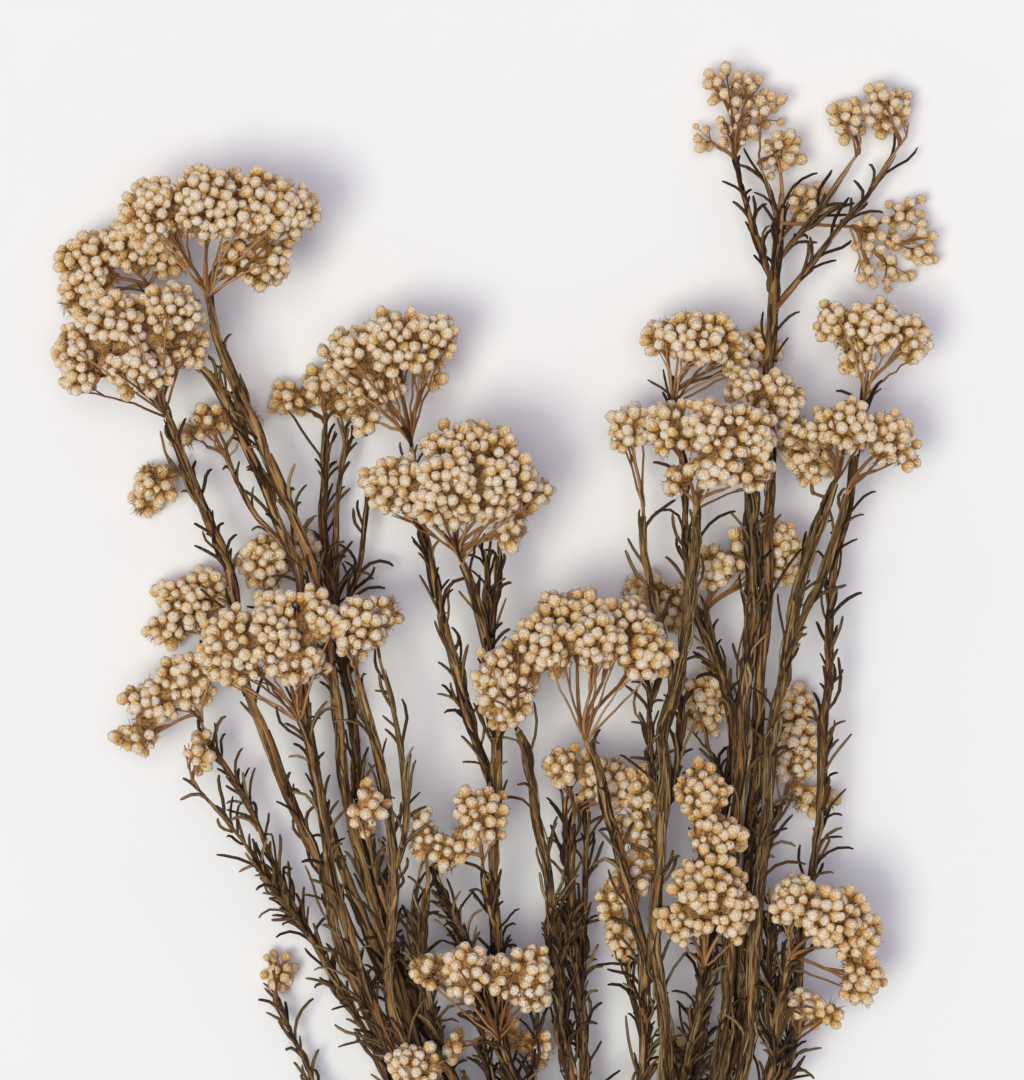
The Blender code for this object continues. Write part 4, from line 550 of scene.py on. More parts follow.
def laid_routes():
    """All stems and shoots with their settled places, as smooth lines of points and radii."""
    top_y = max(route[2][0][1] for stem in STEMS for route in stem)
    levels = np.arange(CUT_Y - CUT_STAGGER, top_y + LEVEL, LEVEL)
    routes = []
    for number, stem in enumerate(STEMS, 1):
        for index, (foot, top, points) in enumerate(stem):
            route = Route(number, index == 0, (foot, top), points)
            route.parent = len(routes) - index
            routes.append(route)
    slots = slots_for([(route.points[0][0], route.points[0][2]) for route in routes if route.main])
    for route in routes:
        route.aim(levels, slots[route.stem - 1] if route.main else None, routes[route.parent])
    settle(routes, levels)
    for route in routes:
        mine = route.active
        points = np.column_stack([route.x, levels, route.z])[mine]
        radii = route.r[mine]
        if not route.main:
            parent = routes[route.parent]
            foot = [np.interp(route.foot_y, levels, axis) for axis in (parent.x, parent.z)]
            away = levels[mine] > route.foot_y + LEVEL
            points = np.vstack([(foot[0], route.foot_y, foot[1]), points[away]])
            radii = np.append(route.radii[0], radii[away])
        if math.dist(points[-1], route.top) > 0.5:
            below = points[:, 1] < route.top[1] - LEVEL * 0.6
            points = np.vstack([points[below], route.top])
            radii = np.append(radii[below], route.radii[1])
        route.line, route.line_r = points, radii
    return routes


def unit(vectors):
    return vectors / np.maximum(np.linalg.norm(vectors, axis=-1, keepdims=True), 1e-9)


def fade(value, start, end):
    """A smooth step from 0 at the start to 1 at the end."""
    share = np.clip((value - start) / (end - start), 0, 1)
    return share * share * (3 - 2 * share)


def crosswise(axes):
    """Two directions square to each axis and to each other."""
    helper = np.where(np.abs(axes[:, 2:3]) < 0.9, (0.0, 0.0, 1.0), (1.0, 0.0, 0.0))
    side = unit(np.cross(axes, helper))
    return side, np.cross(axes, side)


def round_axis(angles, first, second):
    """Directions at the angles round an axis, between the two directions across it."""
    return np.cos(angles)[:, None] * first + np.sin(angles)[:, None] * second


def even_directions(count):
    """Directions spread evenly over a sphere along one spiral."""
    index = np.arange(count) + 0.5
    height = 1 - 2 * index / count
    angle = index * math.pi * (3 - math.sqrt(5))
    flat = np.sqrt(1 - height ** 2)
    return np.column_stack([flat * np.cos(angle), flat * np.sin(angle), height])


def distances(points, others):
    return np.linalg.norm(points[:, None] - others[None], axis=2)


def nearest(points, others):
    """For each point, the number of the other that lies nearest."""
    return distances(points, others).argmin(axis=1)


def lengths_along(points):
    """The length of the line through the points, up to each of them."""
    return np.append(0, np.cumsum(np.linalg.norm(np.diff(points, axis=0), axis=1)))


def curved(start, control, end, count):
    """Points along a bend from start to end, drawn towards the control point."""
    t = np.linspace(0, 1, count)[:, None]
    return start * (1 - t) ** 2 + 2 * control * t * (1 - t) + end * t ** 2


def outside_of(lobes, points):
    """How far each point lies outside the lobes, less than zero inside one."""
    away = (points[:, None, :] - lobes[None, :, :3]) / lobes[None, :, 3:]
    size = lobes[:, 3:].mean(axis=1)
    return ((np.linalg.norm(away, axis=2) - 1) * size).min(axis=1)


def spread_out(points, gap, near=()):
    """The numbers of the points that keep the gap to each other and to the near ones."""
    cells = {}

    def cell(point):
        return tuple(int(value // gap) for value in point)

    for point in near:
        cells.setdefault(cell(point), []).append(tuple(point))
    kept = []
    for index, point in enumerate(map(tuple, points)):
        i, j, k = cell(point)
        close = (other for di in (-1, 0, 1) for dj in (-1, 0, 1) for dk in (-1, 0, 1)
                 for other in cells.get((i + di, j + dj, k + dk), ()))
        if all(math.dist(point, other) >= gap for other in close):
            kept.append(index)
            cells.setdefault((i, j, k), []).append(point)
    return np.array(kept, int)


class Pile:
    """The triangles of one piece, with a look for each and three values for each point.

    The values are its share of the way from base to tip, a tone of its own, and its place along
    and round a stem.
    """

    def __init__(self):
        self.points, self.faces, self.looks = [], [], []
        self.tips, self.tones, self.grains = [], [], []
        self.total = 0

    def add(self, points, faces, look, tip=0.5, tone=0.5, grain=None):
        """Adds triangles, whose corners are numbers of the given points."""
        points = np.asarray(points, float).reshape(-1, 3)
        faces = np.asarray(faces, int).reshape(-1, 3)
        self.points.append(points)
        self.faces.append(faces + self.total)
        self.looks.append(np.full(len(faces), LOOKS.index(look)))
        self.tips.append(np.broadcast_to(tip, len(points)))
        self.tones.append(np.broadcast_to(tone, len(points)))
        self.grains.append(points if grain is None else grain)
        self.total += len(points)

    def add_copies(self, points, faces, look, tips, tones):
        """Adds copies of one shape, with its points in a row for each copy and a tone for each."""
        count, size = points.shape[:2]
        steps = np.arange(count)[:, None, None] * size
        self.add(points, faces[None] + steps, look, np.tile(tips, count), np.repeat(tones, size))

    def add_tube(self, path, radii, sides, look, tip, tone):
        """Adds a closed tube along the path."""
        points, faces, grains = tube(path, radii, sides)
        self.add(points, faces, look, tip, tone, grains)

    def piece(self, name, slot):
        """Makes the object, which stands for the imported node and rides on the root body."""
        points = np.vstack(self.points)
        points[:, 2] = np.maximum(points[:, 2], LOWEST)
        faces = np.vstack(self.faces)
        looks = np.concatenate(self.looks)
        used = sorted(set(looks.tolist()))
        mesh = bpy.data.meshes.new(name)
        mesh.vertices.add(len(points))
        mesh.vertices.foreach_set("co", ((points + SHIFT) * MM).ravel())
        mesh.loops.add(faces.size)
        mesh.loops.foreach_set("vertex_index", faces.ravel())
        mesh.polygons.add(len(faces))
        mesh.polygons.foreach_set("loop_start", np.arange(0, faces.size, 3))
        mesh.polygons.foreach_set("material_index", np.searchsorted(used, looks))
        mesh.update(calc_edges=True)
        mesh.validate()
        mesh.shade_smooth()
        mesh.polygons.foreach_set("use_smooth", looks != LOOKS.index("wood"))
        for label, values in (("tip", self.tips), ("tone", self.tones)):
            layer = mesh.attributes.new(label, "FLOAT", "POINT")
            layer.data.foreach_set("value", np.concatenate(values))
        layer = mesh.attributes.new("grain", "FLOAT_VECTOR", "POINT")
        layer.data.foreach_set("vector", np.vstack(self.grains).ravel())
        for look in used:
            mesh.materials.append(MATERIALS[LOOKS[look]])
        made = bpy.data.objects.new(name, mesh)
        bpy.context.scene.collection.objects.link(made)
        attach(made, "root")
        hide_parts(name.lower())


def tube(points, radii, sides, swell=None):
    """A closed tube through the points: its points, triangles, and the grain of each point."""
    points = np.asarray(points, float)
    radii = np.broadcast_to(radii, len(points))
    runs = unit(np.gradient(points, axis=0))
    side = crosswise(runs[:1])[0][0]
    along = lengths_along(points)
    angles = math.tau * np.arange(sides) / sides
    rings, grains = [], []
    for index, (point, run, radius) in enumerate(zip(points, runs, radii)):
        side = side - run * side.dot(run)
        side /= np.linalg.norm(side)
        out = round_axis(angles, side, np.cross(run, side))
        reach = radius * (swell[index][:, None] if swell is not None else 1.0)
        rings.append(point + out * reach)
        grains.append(np.column_stack([radius * np.cos(angles), radius * np.sin(angles),
                                       np.full(sides, along[index])]))
    ring_starts = np.arange(len(points) - 1)[:, None] * sides
    low = (ring_starts + np.arange(sides)).ravel()
    after = (ring_starts + (np.arange(sides) + 1) % sides).ravel()
    turn = np.arange(1, sides - 1)
    start = np.zeros_like(turn)
    last = (len(points) - 1) * sides
    faces = [np.column_stack(corners) for corners in (
        (low, after, after + sides), (low, after + sides, low + sides), (start, turn + 1, turn),
        (last + start, last + turn, last + turn + 1))]
    return np.vstack(rings), np.vstack(faces), np.vstack(grains)


def bud_template(segments, rings, lumps):
    """A round bud of radius 1 along +Z, wider above its middle: points, triangles, shares to the tip."""
    points = [(0, 0, -1.12)]
    for ring in range(1, rings):
        tilt = math.pi * ring / rings
        reach = math.sin(tilt) * (1 - 0.1 * math.cos(tilt))
        for segment in range(segments):
            angle = math.tau * (segment + 0.5 * (ring % 2)) / segments
            lump = 1 + lumps * rng.uniform(-1, 1)
            points.append((reach * math.cos(angle) * lump, reach * math.sin(angle) * lump,
                           -math.cos(tilt) * 1.06 * lump))
    points.append((0, 0, 1.0))
    points = np.array(points)
    faces = []
    for segment in range(segments):
        after = (segment + 1) % segments
        top = 1 + (rings - 2) * segments
        faces += [(0, 1 + after, 1 + segment), (top + segment, top + after, len(points) - 1)]
        for ring in range(rings - 2):
            low, high = 1 + ring * segments, 1 + (ring + 1) * segments
            if ring % 2:
                faces += [(low + segment, low + after, high + segment),
                          (high + segment, low + after, high + after)]
            else:
                faces += [(low + segment, low + after, high + after),
                          (low + segment, high + after, high + segment)]
    return points, np.array(faces), (points[:, 2] + 1.12) / 2.12


def stamp(pile, template, places, axes, sizes, tones, painted_through_light):
    """Puts the bud at every place, along its axis, with a random turn round it.

    A bud with painted through-light differs less from its base to its tip: its tan base is painted lighter,
    as light shining through the thin papery buds of an open head.
    """
    shape, faces, tips = template
    axes = unit(axes)
    first = round_axis(rng.uniform(0, math.tau, len(places)), *crosswise(axes))
    long = rng.uniform(0.92, 1.3, len(places))[:, None]
    frames = np.stack([first, np.cross(axes, first), axes * long], axis=1) * np.reshape(sizes, (-1, 1, 1))
    points = places[:, None] + np.einsum("vk,nkx->nvx", shape, frames)
    pile.add_copies(points, faces, "bud", tips * (1 - painted_through_light) + 0.66 * painted_through_light, tones)


SPIKE = np.array([(0.5, 0, 0), (-0.25, 0.43, 0), (-0.25, -0.43, 0), (0, 0, 1.0)])
SPIKE_FACES = np.array([(0, 2, 1), (0, 1, 3), (1, 2, 3), (2, 0, 3)])
ROD_FACES = np.array([(0, 1, 4), (0, 4, 3), (1, 2, 5), (1, 5, 4), (2, 0, 3), (2, 3, 5), (0, 2, 1), (3, 4, 5)])


def husks(pile, places, axes, lengths, widths, tones):
    """Small three-sided slivers, each along its axis."""
    axes = unit(axes)
    first, second = crosswise(axes)
    scale = np.stack([first * widths[:, None], second * widths[:, None], axes * lengths[:, None]], axis=1)
    points = places[:, None] + np.einsum("vk,nkx->nvx", SPIKE, scale)
    pile.add_copies(points, SPIKE_FACES, "core", [0, 0, 0, 1.0], tones)


def rods(pile, starts, ends, radius, tones):
    """Thin straight three-sided stalks from the starts to the ends."""
    first, second = crosswise(unit(ends - starts))
    corners = [math.tau * corner / 3 for corner in range(3)]
    out = np.stack([first * math.cos(a) + second * math.sin(a) for a in corners], axis=1) * radius
    points = np.concatenate([starts[:, None] + out, ends[:, None] + out * 0.8], axis=1)
    pile.add_copies(points, ROD_FACES, "stalk", [0, 0, 0, 1.0, 1.0, 1.0], tones)


def outline(lobes):
    """Points and outward directions over the outer surface of all lobes of a head."""
    points, normals = [], []
    for index, lobe in enumerate(lobes):
        rays = even_directions(int(4 * math.pi * lobe[3:].mean() ** 2 / OUTLINE_STEP ** 2))
        place = lobe[:3] + rays * lobe[3:]
        rest = np.delete(lobes, index, axis=0)
        free = outside_of(rest, place) > -0.1 if len(rest) else np.ones(len(place), bool)
        points.append(place[free])
        normals.append(unit(rays / lobe[3:])[free])
    points, normals = np.vstack(points), np.vstack(normals)
    swell = np.array([noise.noise(point * SWELL_SCALE) for point in points])
    return points + normals * (OUTLINE_SWELL * swell)[:, None], normals


def near_boxes(lobes, others):
    """Whether the boxes round two heads lie within 3 mm of each other."""
    (low, high), (low2, high2) = (((group[:, :3] - group[:, 3:]).min(axis=0),
                                   (group[:, :3] + group[:, 3:]).max(axis=0)) for group in (lobes, others))
    return bool((low < high2 + 3).all() and (low2 < high + 3).all())


def free_places(number, places):
    """Which places are inside no other head, above the surface and beside the stems."""
    own = outside_of(LOBES[number], places)
    free = (places[:, 2] > LOWEST_BUD) & (places[:, 2] < TOP - UNDER_TOP)
    for other, lobes in LOBES.items():
        if other != number and near_boxes(lobes, LOBES[number]):
            free &= outside_of(lobes, places) > own + OTHER_HEAD
    for index in np.flatnonzero(free):
        for _, stem_point, distance in STEM_TREE.find_range(places[index], STEM_SEARCH):
            if distance < STEM_R[stem_point] + STEM_CLEAR:
                free[index] = False
                break
    return free


def make_head(number, piles):
    """One head: buds in clusters over the outline of its lobes, on stalks that part from its forks."""
    lobes, forks = LOBES[number], np.array(HEADS[number - 1][0], float)
    openness = OPEN_HEADS.get(number, 0.0)
    bare = BARE_FRONTS.get(number, USUAL_BARE_FRONT)
    pile = Pile()
    surface, normals = outline(lobes)
    order = rng.permutation(len(surface))
    surface, normals = surface[order], normals[order]
    fork_of = nearest(surface, forks)
    facing = (unit(forks[fork_of] - surface) * normals).sum(axis=1)
    middles = spread_out(surface, CLUSTER_GAP * (1 - 0.15 * openness))
    away = distances(surface, surface[middles])
    rim = np.clip(away.min(axis=1) / CLUSTER_REACH, 0, 1.3)
    crown = CLUSTER_CROWN - CLUSTER_CREASE * rim ** 2
    depth = BUD_RADIUS - crown
    hubs = surface[middles] - normals[middles] * HUB_DEPTH
    hubs += HUB_PULL * (forks[fork_of[middles]] - hubs)
    hubs[:, 2] = np.maximum(hubs[:, 2], HUB_LOWEST)
    # Fewer buds grow on the side turned to the fork, over the bare front and in patches
    chance = rng.uniform(0, 1, len(surface))
    outer = chance > FORK_SIDE_BARE[0] * fade(facing, 0.35, 0.85)
    inner = chance > FORK_SIDE_BARE[1] * fade(facing, 0.6, 0.98)
    lift = unit(np.average(lobes[:, :3], axis=0, weights=lobes[:, 3:].prod(axis=1)) - forks.mean(axis=0))
    height = (surface - forks[fork_of]) @ lift
    share = height / np.percentile(height, 98)
    front = fade(bare - share, -0.06, 0.08) * fade(normals[:, 2], -0.1, 0.3)
    outer &= rng.uniform(0, 1, len(surface)) > FRONT_BARE * front
    patch = fade(np.array([noise.noise(point * PATCH_SCALE + (7.3, 0, 0)) for point in surface]), 0.0, 0.4)
    patch *= 1 - 0.75 * fade(share, 0.45, 0.85)
    outer &= rng.uniform(0, 1, len(surface)) > PATCH_BARE * patch
    lay_buds(pile, number, surface, normals, depth, (outer, inner), hubs, away.argmin(axis=1))
    chance = HUSK_SHARE * max(1 - 1.4 * openness, 0) * (0.55 + 1.2 * patch)
    chance = chance * (0.25 + 0.75 * (normals[:, 2] > -0.4))
    chips = np.flatnonzero(inner & (rng.uniform(0, 1, len(surface)) < chance))
    sunk = depth[chips] + rng.uniform(-0.6, 2.4, len(chips)) - 0.9 * patch[chips]
    low = surface[chips] - normals[chips] * sunk[:, None]
    open_place = free_places(number, low)
    chips, low = chips[open_place], low[open_place]
    lean = unit(normals[chips] + rng.normal(0, 0.9, (len(chips), 3)))
    husks(pile, low, lean, rng.uniform(1.0, 2.8, len(chips)), rng.uniform(0.3, 0.75, len(chips)),
          rng.uniform(0, 1, len(chips)))
    if openness < 0.5:
        make_core(pile, lobes, forks)
    make_branchlets(number, forks, lobes, hubs, piles)
    seen = np.flatnonzero((normals[middles][:, 2] > 0.15) & (share[middles] > bare * 0.7))
    allowed = 4 + int(len(middles) * 0.15) if number in BARE_FRONTS else 2
    seen = middles[seen[np.argsort(share[middles][seen])][:allowed]]
    for end in surface[seen] - normals[seen] * 1.3:
        make_front_stalk(number, forks, lobes, end, piles)
    pile.piece(f"Flower_head_{number:02d}", "bud")


def lay_buds(pile, number, surface, normals, depth, wanted_layers, hubs, cluster):
    """An outer layer of buds, a deeper one in the gaps between them, and the stalks of all."""
    openness = OPEN_HEADS.get(number, 0.0)
    buds, axes, inner = [], [], []
    for layer, gap, wanted in zip((0.0, INNER_DEPTH), (BUD_GAP, INNER_GAP), wanted_layers):
        places = surface - normals * (depth + layer)[:, None]
        places += rng.normal(0, 0.25, places.shape)
        usable = np.flatnonzero(wanted & free_places(number, places))
        taken = np.vstack(buds) if buds else ()
        keep = usable[spread_out(places[usable], gap * (1 + 0.22 * openness), taken)]
        if layer and not len(keep):
            continue
        places, axis = places[keep], unit(places[keep] - hubs[cluster[keep]])
        axis = unit(axis + 0.5 * normals[keep])
        if not layer:
            stray = rng.uniform(0, 1, len(keep)) < STRAY_SHARE * (1 + openness)
            places = places + axis * (stray * rng.uniform(1.0, 2.4, len(keep)))[:, None]
        else:
            places = places[rng.uniform(0, 1, len(keep)) > 0.5 * openness]
            axis = unit(places - hubs[nearest(places, hubs)])
        buds.append(places)
        axes.append(axis)
        inner.append(np.full(len(places), layer > 0))
    buds, axes, deep = np.vstack(buds), np.vstack(axes), np.concatenate(inner)
    sizes = (BUD_RADIUS + rng.uniform(-1, 1, len(buds)) * BUD_SPREAD) * (1 - 0.12 * openness)
    sizes *= np.where(rng.uniform(0, 1, len(buds)) < SMALL_SHARE, SMALL_SIZE, 1.0)
    dark = rng.beta(1.6, 4.0, len(buds)) * 0.6 * (1 - 0.5 * openness)
    # Inner buds are painted darker: painted shade deep between the outer buds
    # The tan of a head is partly the buds' own dry colour, partly painted shade on heads in shade
    tones = np.clip(TAN_AND_SHADE_HEADS.get(number, 0.0) + dark + INNER_SHADE_TONE * deep, 0, 1)
    kind = rng.integers(0, len(BUDS), len(buds))
    groups = [((kind == index) & ~deep, template) for index, template in enumerate(BUDS)]
    for mine, template in [*groups, (deep, INNER_BUD)]:
        # Open heads get painted through-light: their bud bases are painted lighter
        stamp(pile, template, buds[mine], axes[mine], sizes[mine], tones[mine], 0.6 * openness)
    rods(pile, hubs[nearest(buds, hubs)], buds - axes * (sizes * 0.9)[:, None], STALK_RADIUS,
         rng.uniform(0.3, 0.9, len(buds)))


def make_core(pile, lobes, forks):
    """The crowded stalks and husks under the buds, as rough bodies well inside the lobes."""
    shape, faces, tips = CORE
    bodies = []
    for index, lobe in enumerate(lobes):
        fork = forks[nearest(lobe[None, :3], forks)[0]]
        bodies.append((lobe[:3] + unit(lobe[:3] - fork), CORE_SHARE * lobe[3:]))
        for other in lobes[index + 1:]:
            span = lobe[3:].mean() + other[3:].mean()
            if np.linalg.norm(lobe[:3] - other[:3]) < 0.95 * span:
                bodies.append(((lobe[:3] + other[:3]) / 2 - (0, 0, BRIDGE_DROP),
                               BRIDGE_SHARE * np.minimum(lobe[3:], other[3:])))
    for middle, radii in bodies:
        rough = 1 + np.array([CORE_ROUGHNESS * noise.noise(point * CORE_SCALE + middle) for point in shape])
        points = middle + shape * rough[:, None] * radii
        pile.add(points, faces, "core", tips, rng.uniform(0.1, 0.7, len(shape)))
        points = middle + unit(rng.normal(0, 1, (CORE_SPIKES, 3)) + (0, -0.2, 0.7)) * radii * 0.95
        lean = unit((points - middle) / radii + rng.normal(0, 0.9, points.shape))
        husks(pile, points, lean, rng.uniform(1.8, 4.2, len(points)), rng.uniform(0.35, 0.7, len(points)),
              rng.uniform(0.2, 1, len(points)))


def fork_stem(number, which):
    """The stem that ends at that fork of a head, and its direction there."""
    stem, line = FORKS[tuple(HEADS[number - 1][0][which])]
    return stem, unit(line[-1] - line[max(len(line) - 4, 0)])


def make_branchlets(number, forks, lobes, hubs, piles):
    """Stalks from the forks to the lobes of a head, and from there to its clusters."""
    fork_of = nearest(lobes[:, :3], forks)
    lobe_of = nearest(hubs, lobes[:, :3])
    unmet = [which for which in range(len(forks)) if which not in fork_of]
    extra = [(int(nearest(forks[which][None], lobes[:, :3])[0]), which) for which in unmet]
    for index, which in [*enumerate(fork_of), *extra]:
        lobe, mine = lobes[index], hubs[lobe_of == index]
        if not len(mine):
            continue
        fork = forks[which]
        stem, ahead = fork_stem(number, which)
        knot = fork + (lobe[:3] - fork) * rng.uniform(0.45, 0.6)
        span = np.linalg.norm(knot - fork)
        path = curved(fork - ahead * 0.5, fork + ahead * span * 0.25, knot, 7)
        tone = rng.uniform(0.2, 0.8)
        piles[stem].add_tube(path, np.linspace(0.8, 0.55, 7), 6, "stalk", 0.3, tone)
        for hub in mine:
            bend = knot + (knot - fork) * 0.25 + rng.normal(0, 0.8, 3)
            piles[stem].add_tube(curved(knot, bend, hub, 5), np.linspace(0.5, 0.32, 5), 5, "stalk", 0.6,
                                 tone + rng.uniform(-0.2, 0.2))


def make_front_stalk(number, forks, lobes, end, piles):
    """A stalk with two twigs, which runs up the side of a head that is seen and ends among its buds."""
    which = int(nearest(end[None], forks)[0])
    fork = forks[which]
    stem, ahead = fork_stem(number, which)
    middle = (fork + end) / 2 + np.array([rng.normal(0, 0.8), 0, 0])
    for _ in range(24):
        if outside_of(lobes, middle[None])[0] > 0.2:
            break
        middle[2] += 0.6
    start = fork - ahead * rng.uniform(0.2, 4.0)
    path = curved(start, 2 * middle - (start + end) / 2, end, 10)
    path[1:-1] += rng.normal(0, 0.22, (8, 3))
    tone = rng.uniform(0.1, 1.0)
    piles[stem].add_tube(path, np.linspace(0.5, 0.28, 10), 5, "stalk", 0.5, tone)
    for leaving in (4, 6):
        away = unit(end - path[leaving]) + rng.normal(0, 0.42, 3)
        tip = path[leaving] + away * rng.uniform(4.5, 7.5) - (0, 0, 1.0)
        if outside_of(lobes, tip[None])[0] < 0.2:
            twig = curved(path[leaving], path[leaving] + away * 3.0, tip, 5)
            piles[stem].add_tube(twig, np.linspace(0.32, 0.2, 5), 4, "stalk", 0.7, tone)


def blade_faces(rings):
    """The triangles of a blade with three points to a ring, closed at both ends."""
    faces = [(0, 2, 1)]
    for ring in range(rings - 1):
        for corner in range(3):
            after = (corner + 1) % 3
            low, high = ring * 3, ring * 3 + 3
            faces += [(low + corner, low + after, high + after), (low + corner, high + after, high + corner)]
    last = 3 * rings - 3
    return np.array(faces + [(last, last + 1, last + 2)])


LEAF_SHARES = np.array([0, 0.18, 0.4, 0.64, 0.88, 1.0])
LEAF_PROFILE = (0.85, 1.0, 1.05, 1.05, 0.95, 0.6)
STRAND_PROFILE = (0.5, 0.9, 1.0, 1.0, 0.85, 0.45)


def blades(pile, lines, widths, profile, tones):
    """Slender three-sided leaves along lines that all have the same number of points."""
    ways = unit(np.gradient(lines, axis=1))
    side = crosswise(ways[:, 0])[0]
    side = round_axis(rng.uniform(0, math.tau, len(lines)), side, np.cross(ways[:, 0], side))
    rings = []
    for ring, share in enumerate(profile):
        way = ways[:, ring]
        side = unit(side - way * (side * way).sum(axis=1)[:, None])
        up = np.cross(way, side)
        half = (widths * share / 2)[:, None]
        rings += [lines[:, ring] + (side * math.cos(turn) + up * math.sin(turn)) * half
                  for turn in (0, math.tau / 3, 2 * math.tau / 3)]
    points = np.stack(rings, axis=1)
    above = points[:, :, 2].min(axis=1) > 0.15
    tips = np.repeat(np.linspace(0, 1, len(profile)), 3)
    pile.add_copies(points[above], blade_faces(len(profile)), "leaf", tips, tones[above])


def frames_at(line, along, at):
    """The middle of the stem, its direction and two directions across it, at lengths along it."""
    def place(lengths):
        return np.column_stack([np.interp(lengths, along, line[:, axis]) for axis in range(3)])
    runs = unit(place(at + 2) - place(at - 2))
    return place(at), runs, *crosswise(runs)


def side_shoot(stem, lift, points):
    """A thin shoot that leaves the nearest shoot of its stem at the last of the points."""
    points = np.array(points[::-1], float)
    foot_y, top_y = points[0, 1], points[-1, 1]
    carrier = min((route.line for route in ROUTES if route.stem == stem),
                  key=lambda line: np.linalg.norm(line[:, :2] - points[0], axis=1).min())
    ys = np.append(np.arange(foot_y, top_y, LEVEL), top_y)
    beside, height = (np.interp(ys, carrier[:, 1], carrier[:, axis]) for axis in (0, 2))
    leave = fade(ys, foot_y, foot_y + SHOOT_PARTING)
    x = beside + (smooth_through(points[:, 1], points[:, 0], ys) - beside) * leave
    z = np.maximum(height + lift * leave, SHOOT_RADII[0] + FLOOR_ROOM)
    return SimpleNamespace(stem=stem, main=False, line=np.column_stack([x, ys, z]),
                           line_r=np.linspace(*SHOOT_RADII, len(ys)))


def dress_route(pile, route, habit=None):
    """The bark, the leaves and the strands that lie along one stem or shoot."""
    line = route.line
    leafy, matted, mat, pale, orange, bark_share = habit or LEAF_HABITS.get(route.stem, USUAL_HABIT)
    if not route.main:
        bark_share, leafy, matted = bark_share * 0.88, leafy * 0.9, matted * 0.6
    radii = route.line_r * (1 - (1 - bark_share) * fade(line[:, 1], 60, 110))
    along = lengths_along(line)
    sides = 10 if route.main else 8
    steps = np.arange(len(line))[:, None]
    angles = math.tau * np.arange(sides)[None] / sides
    phase = rng.uniform(0, math.tau, 3)
    swell = (1 + 0.10 * np.sin(3 * angles + phase[0] + 0.35 * steps)
             + 0.06 * np.sin(5 * angles + phase[1] - 0.5 * steps) + rng.normal(0, 0.03, (len(line), sides)))
    wander = np.column_stack([rng.normal(0, 0.18, len(line)), np.zeros(len(line)),
                              rng.normal(0, 0.12, len(line))])
    wander[[0, -1]] = 0
    slim = 1 - 0.35 * fade(along, along[-1] - 14, along[-1])
    points, faces, grains = tube(line + wander, radii * slim, sides, swell)
    tones = orange + rng.uniform(-0.12, 0.12) + (0.85 - orange) * fade(along, along[-1] - 26, along[-1])
    pile.add(points, faces, "bark", 0.5, np.repeat(np.clip(tones, 0, 1), sides),
             grains + (17.0 * route.stem, 0, 0))
    if route.main:
        run = unit(line[1] - line[0])
        points, faces, grains = tube([line[0] + run, line[0] - run * 0.08], radii[0] * 0.95, 14)
        pile.add(points, faces, "wood", 0.5, rng.uniform(0.2, 0.8), grains / radii[0])
    at = rng.uniform(2, max(along[-1] - 3, 3), int(along[-1] * leafy * 1.5))
    at = at[[noise.noise((value * 0.06, 3.1 * route.stem, 0.5)) > rng.uniform(-0.9, 0.35) for value in at]]
    low, high = np.interp(THICKET_Y, line[:, 1], along)
    thick = rng.uniform(low, high, int((high - low) * THICKET.get(route.stem, 0)))
    # Thicket leaves take the dark thicket paleness, partly painted shade
    paleness = np.repeat((pale, THICKET_PALE_AND_SHADE), (len(at), len(thick)))
    add_leaves(pile, line, along, radii, np.append(at, thick), paleness)
    add_strands(pile, line, along, radii, int(along[-1] * matted), mat, pale)


def add_leaves(pile, line, along, radii, at, pale):
    """Rolled dry leaves, which leave the stem at one angle and end at another."""
    clear = frames_at(line, along, at)[0][:, 1] > TIE_Y + FIRST_LEAF
    at, pale = at[clear], pale[clear]
    count = len(at)
    roots, runs, first, second = frames_at(line, along, at)
    outs = round_axis(rng.uniform(0, math.tau, count), first, second)
    roots = roots + outs * (np.interp(at, along, radii) * 0.8)[:, None]
    lengths = rng.uniform(7, 16, count) * np.where(rng.uniform(0, 1, count) < 0.12, 1.4, 1.0)
    starts = rng.uniform(0.08, 0.5, count)
    rolled = rng.uniform(0, 1, count) < 0.35
    ends = np.where(rolled, rng.uniform(0.6, 2.2, count), rng.uniform(-0.6, 0.4, count))
    sway, wave, bend = rng.normal(0, 0.8, count), rng.uniform(0, math.tau, count), rng.uniform(0, 0.4, count)
    sides = np.cross(runs, outs)
    lines = [roots]
    for before, share in zip(LEAF_SHARES, LEAF_SHARES[1:]):
        middle = (before + share) / 2
        angle = (starts + (ends - starts) * middle ** 1.3 + bend * np.sin(wave + 5 * middle))[:, None]
        way = unit(runs * np.cos(angle) + outs * np.sin(angle) + sides * (sway * middle)[:, None])
        lines.append(lines[-1] + way * (lengths * (share - before))[:, None])
    lines = np.stack(lines, axis=1)
    clear = (outside_of(ALL_LOBES, lines[:, 3]) > -0.5) & (outside_of(ALL_LOBES, lines[:, 5]) > -0.5)
    clear &= outside_of(ALL_LOBES, roots) > -2.5
    tones = np.clip(pale - 0.02 + rng.normal(0, 0.2, count), 0, 1)
    blades(pile, lines[clear], rng.uniform(0.95, 1.4, count)[clear], LEAF_PROFILE, tones[clear])


